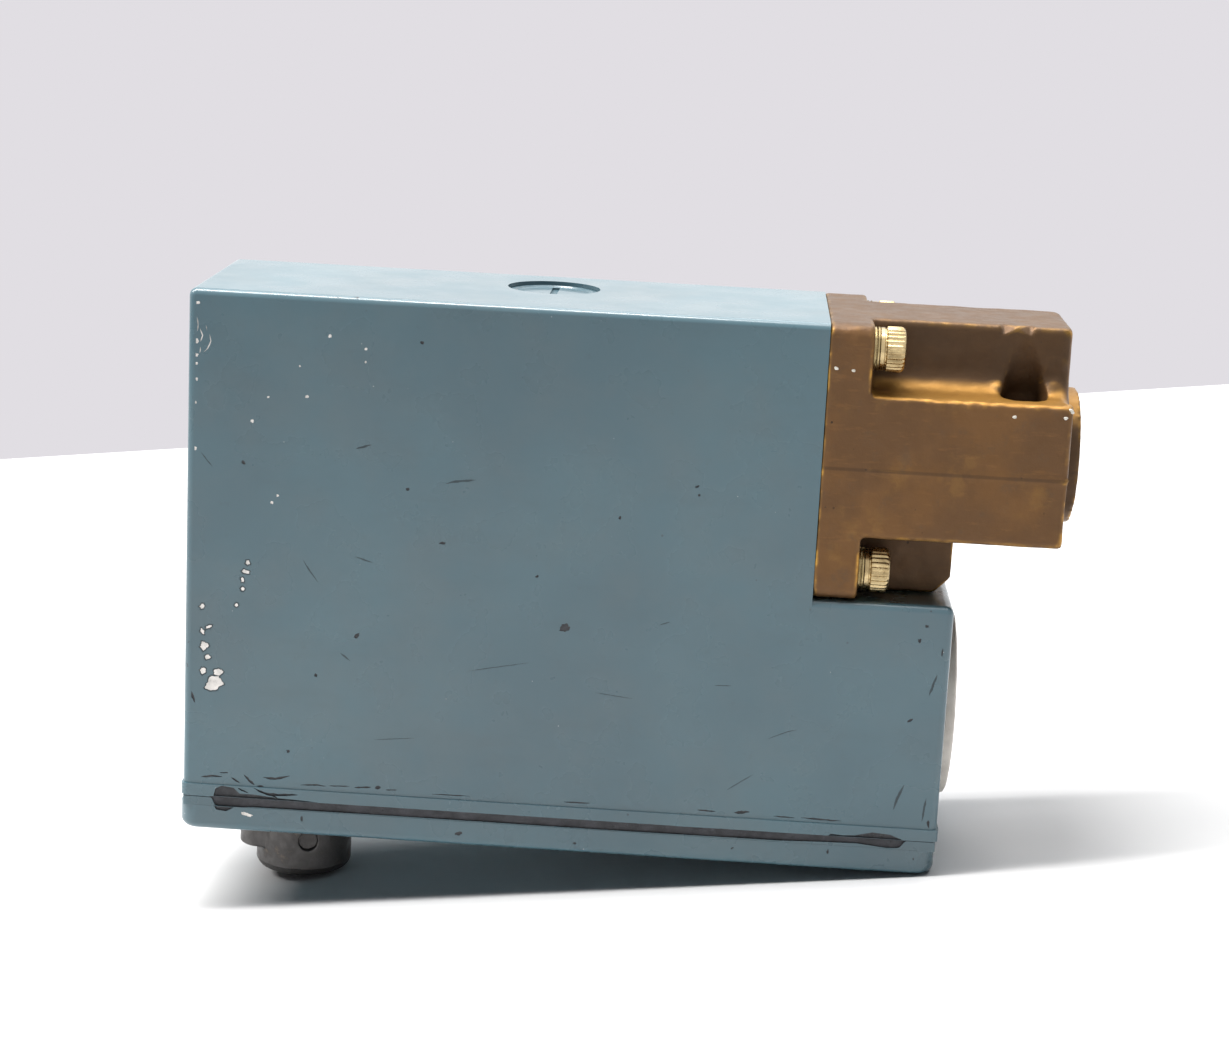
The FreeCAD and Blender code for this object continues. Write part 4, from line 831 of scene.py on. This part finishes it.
def build_cap_screws():
    """M4 socket-head cap screws with knurled heads."""
    ridges = 26

    def knurl(drop):
        def radius(angle):
            return 3.5 - drop - 0.2 * (0.5 - 0.5 * math.cos(ridges * angle)) ** 1.4
        return radius
    socket = hexagon_reach(3)
    work = bmesh.new()
    for y in (NEAR_ROW, WIDTH - NEAR_ROW):
        for z in SCREW_ROWS:
            centre = place(105.7, y, z)
            turned(work, centre, Vector((1, 0, 0)),
                   [(-0.02, 1.9), (0, 3.1), (0.12, 3.3), (0.7, 3.32), (0.82, 3.12), (0.92, 3.12),
                    (1.0, knurl(0.22)), (1.15, knurl(0.02)), (1.7, knurl(0)), (2.3, knurl(0)),
                    (2.9, knurl(0)), (3.3, knurl(0)), (3.55, knurl(0.1)), (3.75, 3.22), (3.9, 3.05),
                    (3.98, 2.8), (4.0, 2.5), (4.0, lambda angle: socket(angle) + 0.2), (3.85, socket),
                    (2.0, socket), (1.6, lambda angle: 0.3 * socket(angle))], ridges * 8)
            turned(work, centre, Vector((1, 0, 0)),
                   [(-14.0, 1.2), (-13.6, 1.6)] + thread_rows(-13.5, -1.5, 1.95, 0.3, 0.7)
                   + [(-1.4, 1.95), (0.1, 1.95)], 32)
    crisp(as_piece("cap_screws", work, SCREW, replaced=("port_block_screws",)), 38)


def build_spring_washers():
    """Split spring washers, grooved and serrated round the rim."""
    profile = [(0, 2.15), (0, 3.28), (0.06, 3.38), (0.32, 3.4), (0.4, None), (0.52, None), (0.6, 3.4),
               (0.84, 3.38), (0.9, 3.28), (0.9, 2.15)]
    work = bmesh.new()
    gap = 0.12
    for y in (NEAR_ROW, WIDTH - NEAR_ROW):
        for z in SCREW_ROWS:
            rings = []
            for index in range(133):
                angle = math.pi / 2 + gap + (2 * math.pi - 2 * gap) * index / 132
                ring = []
                for height, radius in profile:
                    reach = radius or 3.08 - 0.2 * abs(math.sin(22 * angle))
                    ring.append(place(104.8 + height, y + reach * math.cos(angle), z + reach * math.sin(angle)))
                rings.append(ring_of(work, ring))
            for first, second in zip(rings, rings[1:]):
                bridge(work, first, second)
            work.faces.new(list(reversed(rings[0])))
            work.faces.new(rings[-1])
    bmesh.ops.recalc_face_normals(work, faces=work.faces)
    crisp(as_piece("spring_washers", work, WASHER, replaced=("port_block_spring_washers",)), 38)


def slots(name, material, boxes):
    """A cutter of plain bars, each (centre, half sizes, turn about the axis named)."""
    work = bmesh.new()
    for centre, halves, turn, axis in boxes:
        turned_box = (Matrix.Translation(centre) @ Matrix.Rotation(turn, 4, axis)
                      @ Matrix.Diagonal(Vector([2 * half * MM for half in halves] + [1])))
        bmesh.ops.create_cube(work, size=1, matrix=turned_box)
    return as_piece(name, work, material, body=None)


def build_cover_screws():
    """Slotted M3 screws sunk in the cover, each stopped at its own angle."""
    work = bmesh.new()
    bars = []
    seat = (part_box("cover")[0].z - DATUM.z) / MM + 2.2
    for index, (x, y) in enumerate([(7, 7), (7, WIDTH - 7), (LENGTH - 7, 7), (LENGTH - 7, WIDTH - 7)]):
        centre = place(x, y, seat)
        turned(work, centre, Vector((0, 0, 1)),
               [(-1.75, 0.8), (-1.98, 1.7), (-1.8, 2.35), (-1.45, 2.68), (-0.1, 2.75), (0, 2.65),
                (0.02, 1.4)], 48)
        turned(work, centre, Vector((0, 0, 1)),
               [(-0.1, 1.45), (0.2, 1.45)] + thread_rows(0.3, 7.9, 1.45, 0.22, 0.5)
               + [(8.0, 1.2), (8.6, 0.9)], 28)
        bars.append((centre - Vector((0, 0, 1.6 * MM)), (3.2, 0.36, 0.75), 0.5 + index * 1.3, "Z"))
    piece = as_piece("cover_screw_set", work, ZINC, replaced=("cover_screws",))
    cut_away(piece, slots("bars", ZINC, bars))
    crisp(piece)


def build_access_plug():
    """Slotted plug in the top face, with a turned rim and a short thread."""
    (low, high) = span("access_plug")
    middle = (low + high) / 2
    centre = place(middle.x, middle.y, -1.6)
    work = bmesh.new()
    turned(work, centre, Vector((0, 0, 1)),
           [(0, 4.9), (0, 7.1), (0.12, 7.25), (0.8, 7.25), (0.98, 7.1), (1.05, 6.8), (1.05, 6.3), (0.85, 6.1),
            (0.82, 3.0), (0.8, 1.0)], 96)
    turned(work, centre, Vector((0, 0, 1)),
           [(-6.0, 4.2), (-5.6, 4.6)] + thread_rows(-5.4, -0.9, 4.97, 0.5, 1.0) + [(-0.8, 4.6), (0.3, 4.6)], 72)
    piece = as_piece("access_plug_turning", work, PAINT, replaced=("access_plug",))
    bar = (centre + Vector((0, 0, 0.8 * MM)), (5.2, 0.6, 0.3), math.pi / 2, "Z")
    cut_away(piece, slots("bars", PAINT, [bar]))
    crisp(piece)


def build_entry_plug():
    """Moulded blanking disc with a raised rim, rings and a coin slot, hollow behind."""
    centre = place(LENGTH, MIDDLE, -63.3)
    work = bmesh.new()
    turned(work, centre, Vector((1, 0, 0)),
           [(-1.5, 2.0), (-1.5, 7.4), (-8.0, 7.5), (-8.0, 8.8), (-7.6, 9.2)]
           + thread_rows(-7.5, -2.0, 9.97, 0.75, 1.5)
           + [(-1.7, 9.3), (-0.02, 9.3), (0, 14.7), (0.15, 14.95), (1.1, 15.0), (1.5, 14.85), (1.72, 14.5),
              (1.8, 14.0), (1.8, 12.8), (1.62, 12.5), (1.45, 12.2), (1.45, 4.8), (1.55, 4.5), (1.55, 1.0)], 128)
    piece = as_piece("entry_plug_moulding", work, ENTRY, replaced=("cable_entry_plug",))
    cut_away(piece, slots("bars", ENTRY, [(centre + Vector((1.4 * MM, 0, 0)), (0.6, 9.0, 1.0), 0.12, "X")]))
    crisp(piece)


build_cap_screws()
build_spring_washers()
build_cover_screws()
build_access_plug()
build_entry_plug()


# ---------------------------------------------------------------- floor, lights and camera

def add_camera():
    """Stands before the near face, a little above, with the tilt of the hand that held it."""
    yaw, pitch, roll = -0.04174, 0.22809, 0.05023
    forward = Vector((math.sin(yaw) * math.cos(pitch), math.cos(yaw) * math.cos(pitch), -math.sin(pitch)))
    level = Vector((math.cos(yaw), -math.sin(yaw), 0))
    upright = level.cross(forward)
    right = math.cos(roll) * level + math.sin(roll) * upright
    top = -math.sin(roll) * level + math.cos(roll) * upright
    camera = bpy.data.objects.new("camera", bpy.data.cameras.new("camera"))
    scene.collection.objects.link(camera)
    camera.data.sensor_width = 36
    camera.data.lens = 76.88
    camera.data.clip_start = 0.02
    camera.data.clip_end = 20
    turn = Matrix((right, top, -forward)).transposed().to_4x4()
    camera.matrix_world = Matrix.Translation(place(83.32, -394.43, 57.75)) @ turn
    scene.camera = camera


def add_floor():
    """The switch lies on its knob's rim and the cover's right-hand edge, so the floor tilts to meet them."""
    knob_low, knob_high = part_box("setting_knob")
    cover_low, cover_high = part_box("cover")
    heel = Vector((knob_high.x - 1.3 * MM, 0, knob_low.z))
    toe = Vector((cover_high.x - 1.3 * MM, 0, cover_low.z))
    tilt = math.atan2(toe.z - heel.z, toe.x - heel.x)
    mesh = bpy.data.meshes.new("floor")
    depth = place(0, 415, 0).y
    mesh.from_pydata([(-3, -3, 0), (3, -3, 0), (3, depth + 0.03, 0), (-3, depth - 0.03, 0)], [],
                     [(0, 1, 2, 3)])
    floor = bpy.data.objects.new("floor", mesh)
    scene.collection.objects.link(floor)
    floor.matrix_world = Matrix.Translation(heel) @ Matrix.Rotation(-tilt, 4, "Y")
    finish = Finish("floor_card", Specular_IOR_Level=0.2)
    base = finish.blend(finish.step(finish.grain(60, 4), 0.3, 0.7), colour("E6E6E6"), colour("E0E0E1"))
    dress(mesh, finish.finish(base, finish.step(finish.grain(9, 3), 0.3, 0.7, 0.75, 0.85)))
    return floor


def add_lamp(name, spot, target, size, energy, tint):
    """A rectangular lamp at spot that faces target, both in metres."""
    lamp = bpy.data.lights.new(name, "AREA")
    lamp.shape = "RECTANGLE"
    lamp.size, lamp.size_y = size
    lamp.energy = energy
    lamp.color = tint
    fitting = bpy.data.objects.new(name, lamp)
    scene.collection.objects.link(fitting)
    aim = (Vector(target) - Vector(spot)).to_track_quat("-Z", "X")
    fitting.matrix_world = Matrix.Translation(spot) @ aim.to_matrix().to_4x4()


def add_lights():
    """A long lamp overhead to the left, a wide pale one above and behind, and a pale room."""
    add_lamp("long_lamp", (-0.62, -0.04, 0.95), (-0.07, 0, -0.02), (1.3, 0.22), 25, (1, 0.985, 0.97))
    add_lamp("wide_lamp", (0.1, 0.45, 1.3), (0, 0.05, -0.05), (1.8, 1.2), 21, (0.97, 0.985, 1))
    world = bpy.data.worlds.new("room")
    scene.world = world
    world.use_nodes = True
    tree = world.node_tree
    background = tree.nodes["Background"]
    path = tree.nodes.new("ShaderNodeLightPath")
    glow = (1.16, 1.17, 1.18, 1)
    for ray, shade in (("Is Diffuse Ray", (0.02, 0.021, 0.023, 1)), ("Is Camera Ray", colour("E1DEE3"))):
        mix = tree.nodes.new("ShaderNodeMix")
        mix.data_type = "RGBA"
        mix.inputs[7].default_value = shade
        if ray == "Is Diffuse Ray":
            mix.inputs[6].default_value = glow
        else:
            tree.links.new(glow, mix.inputs[6])
        tree.links.new(path.outputs[ray], mix.inputs[0])
        glow = mix.outputs[2]
    tree.links.new(glow, background.inputs["Color"])
    background.inputs["Strength"].default_value = 1.0


scene.view_settings.view_transform = "Standard"
add_camera()
add_floor()
add_lights()
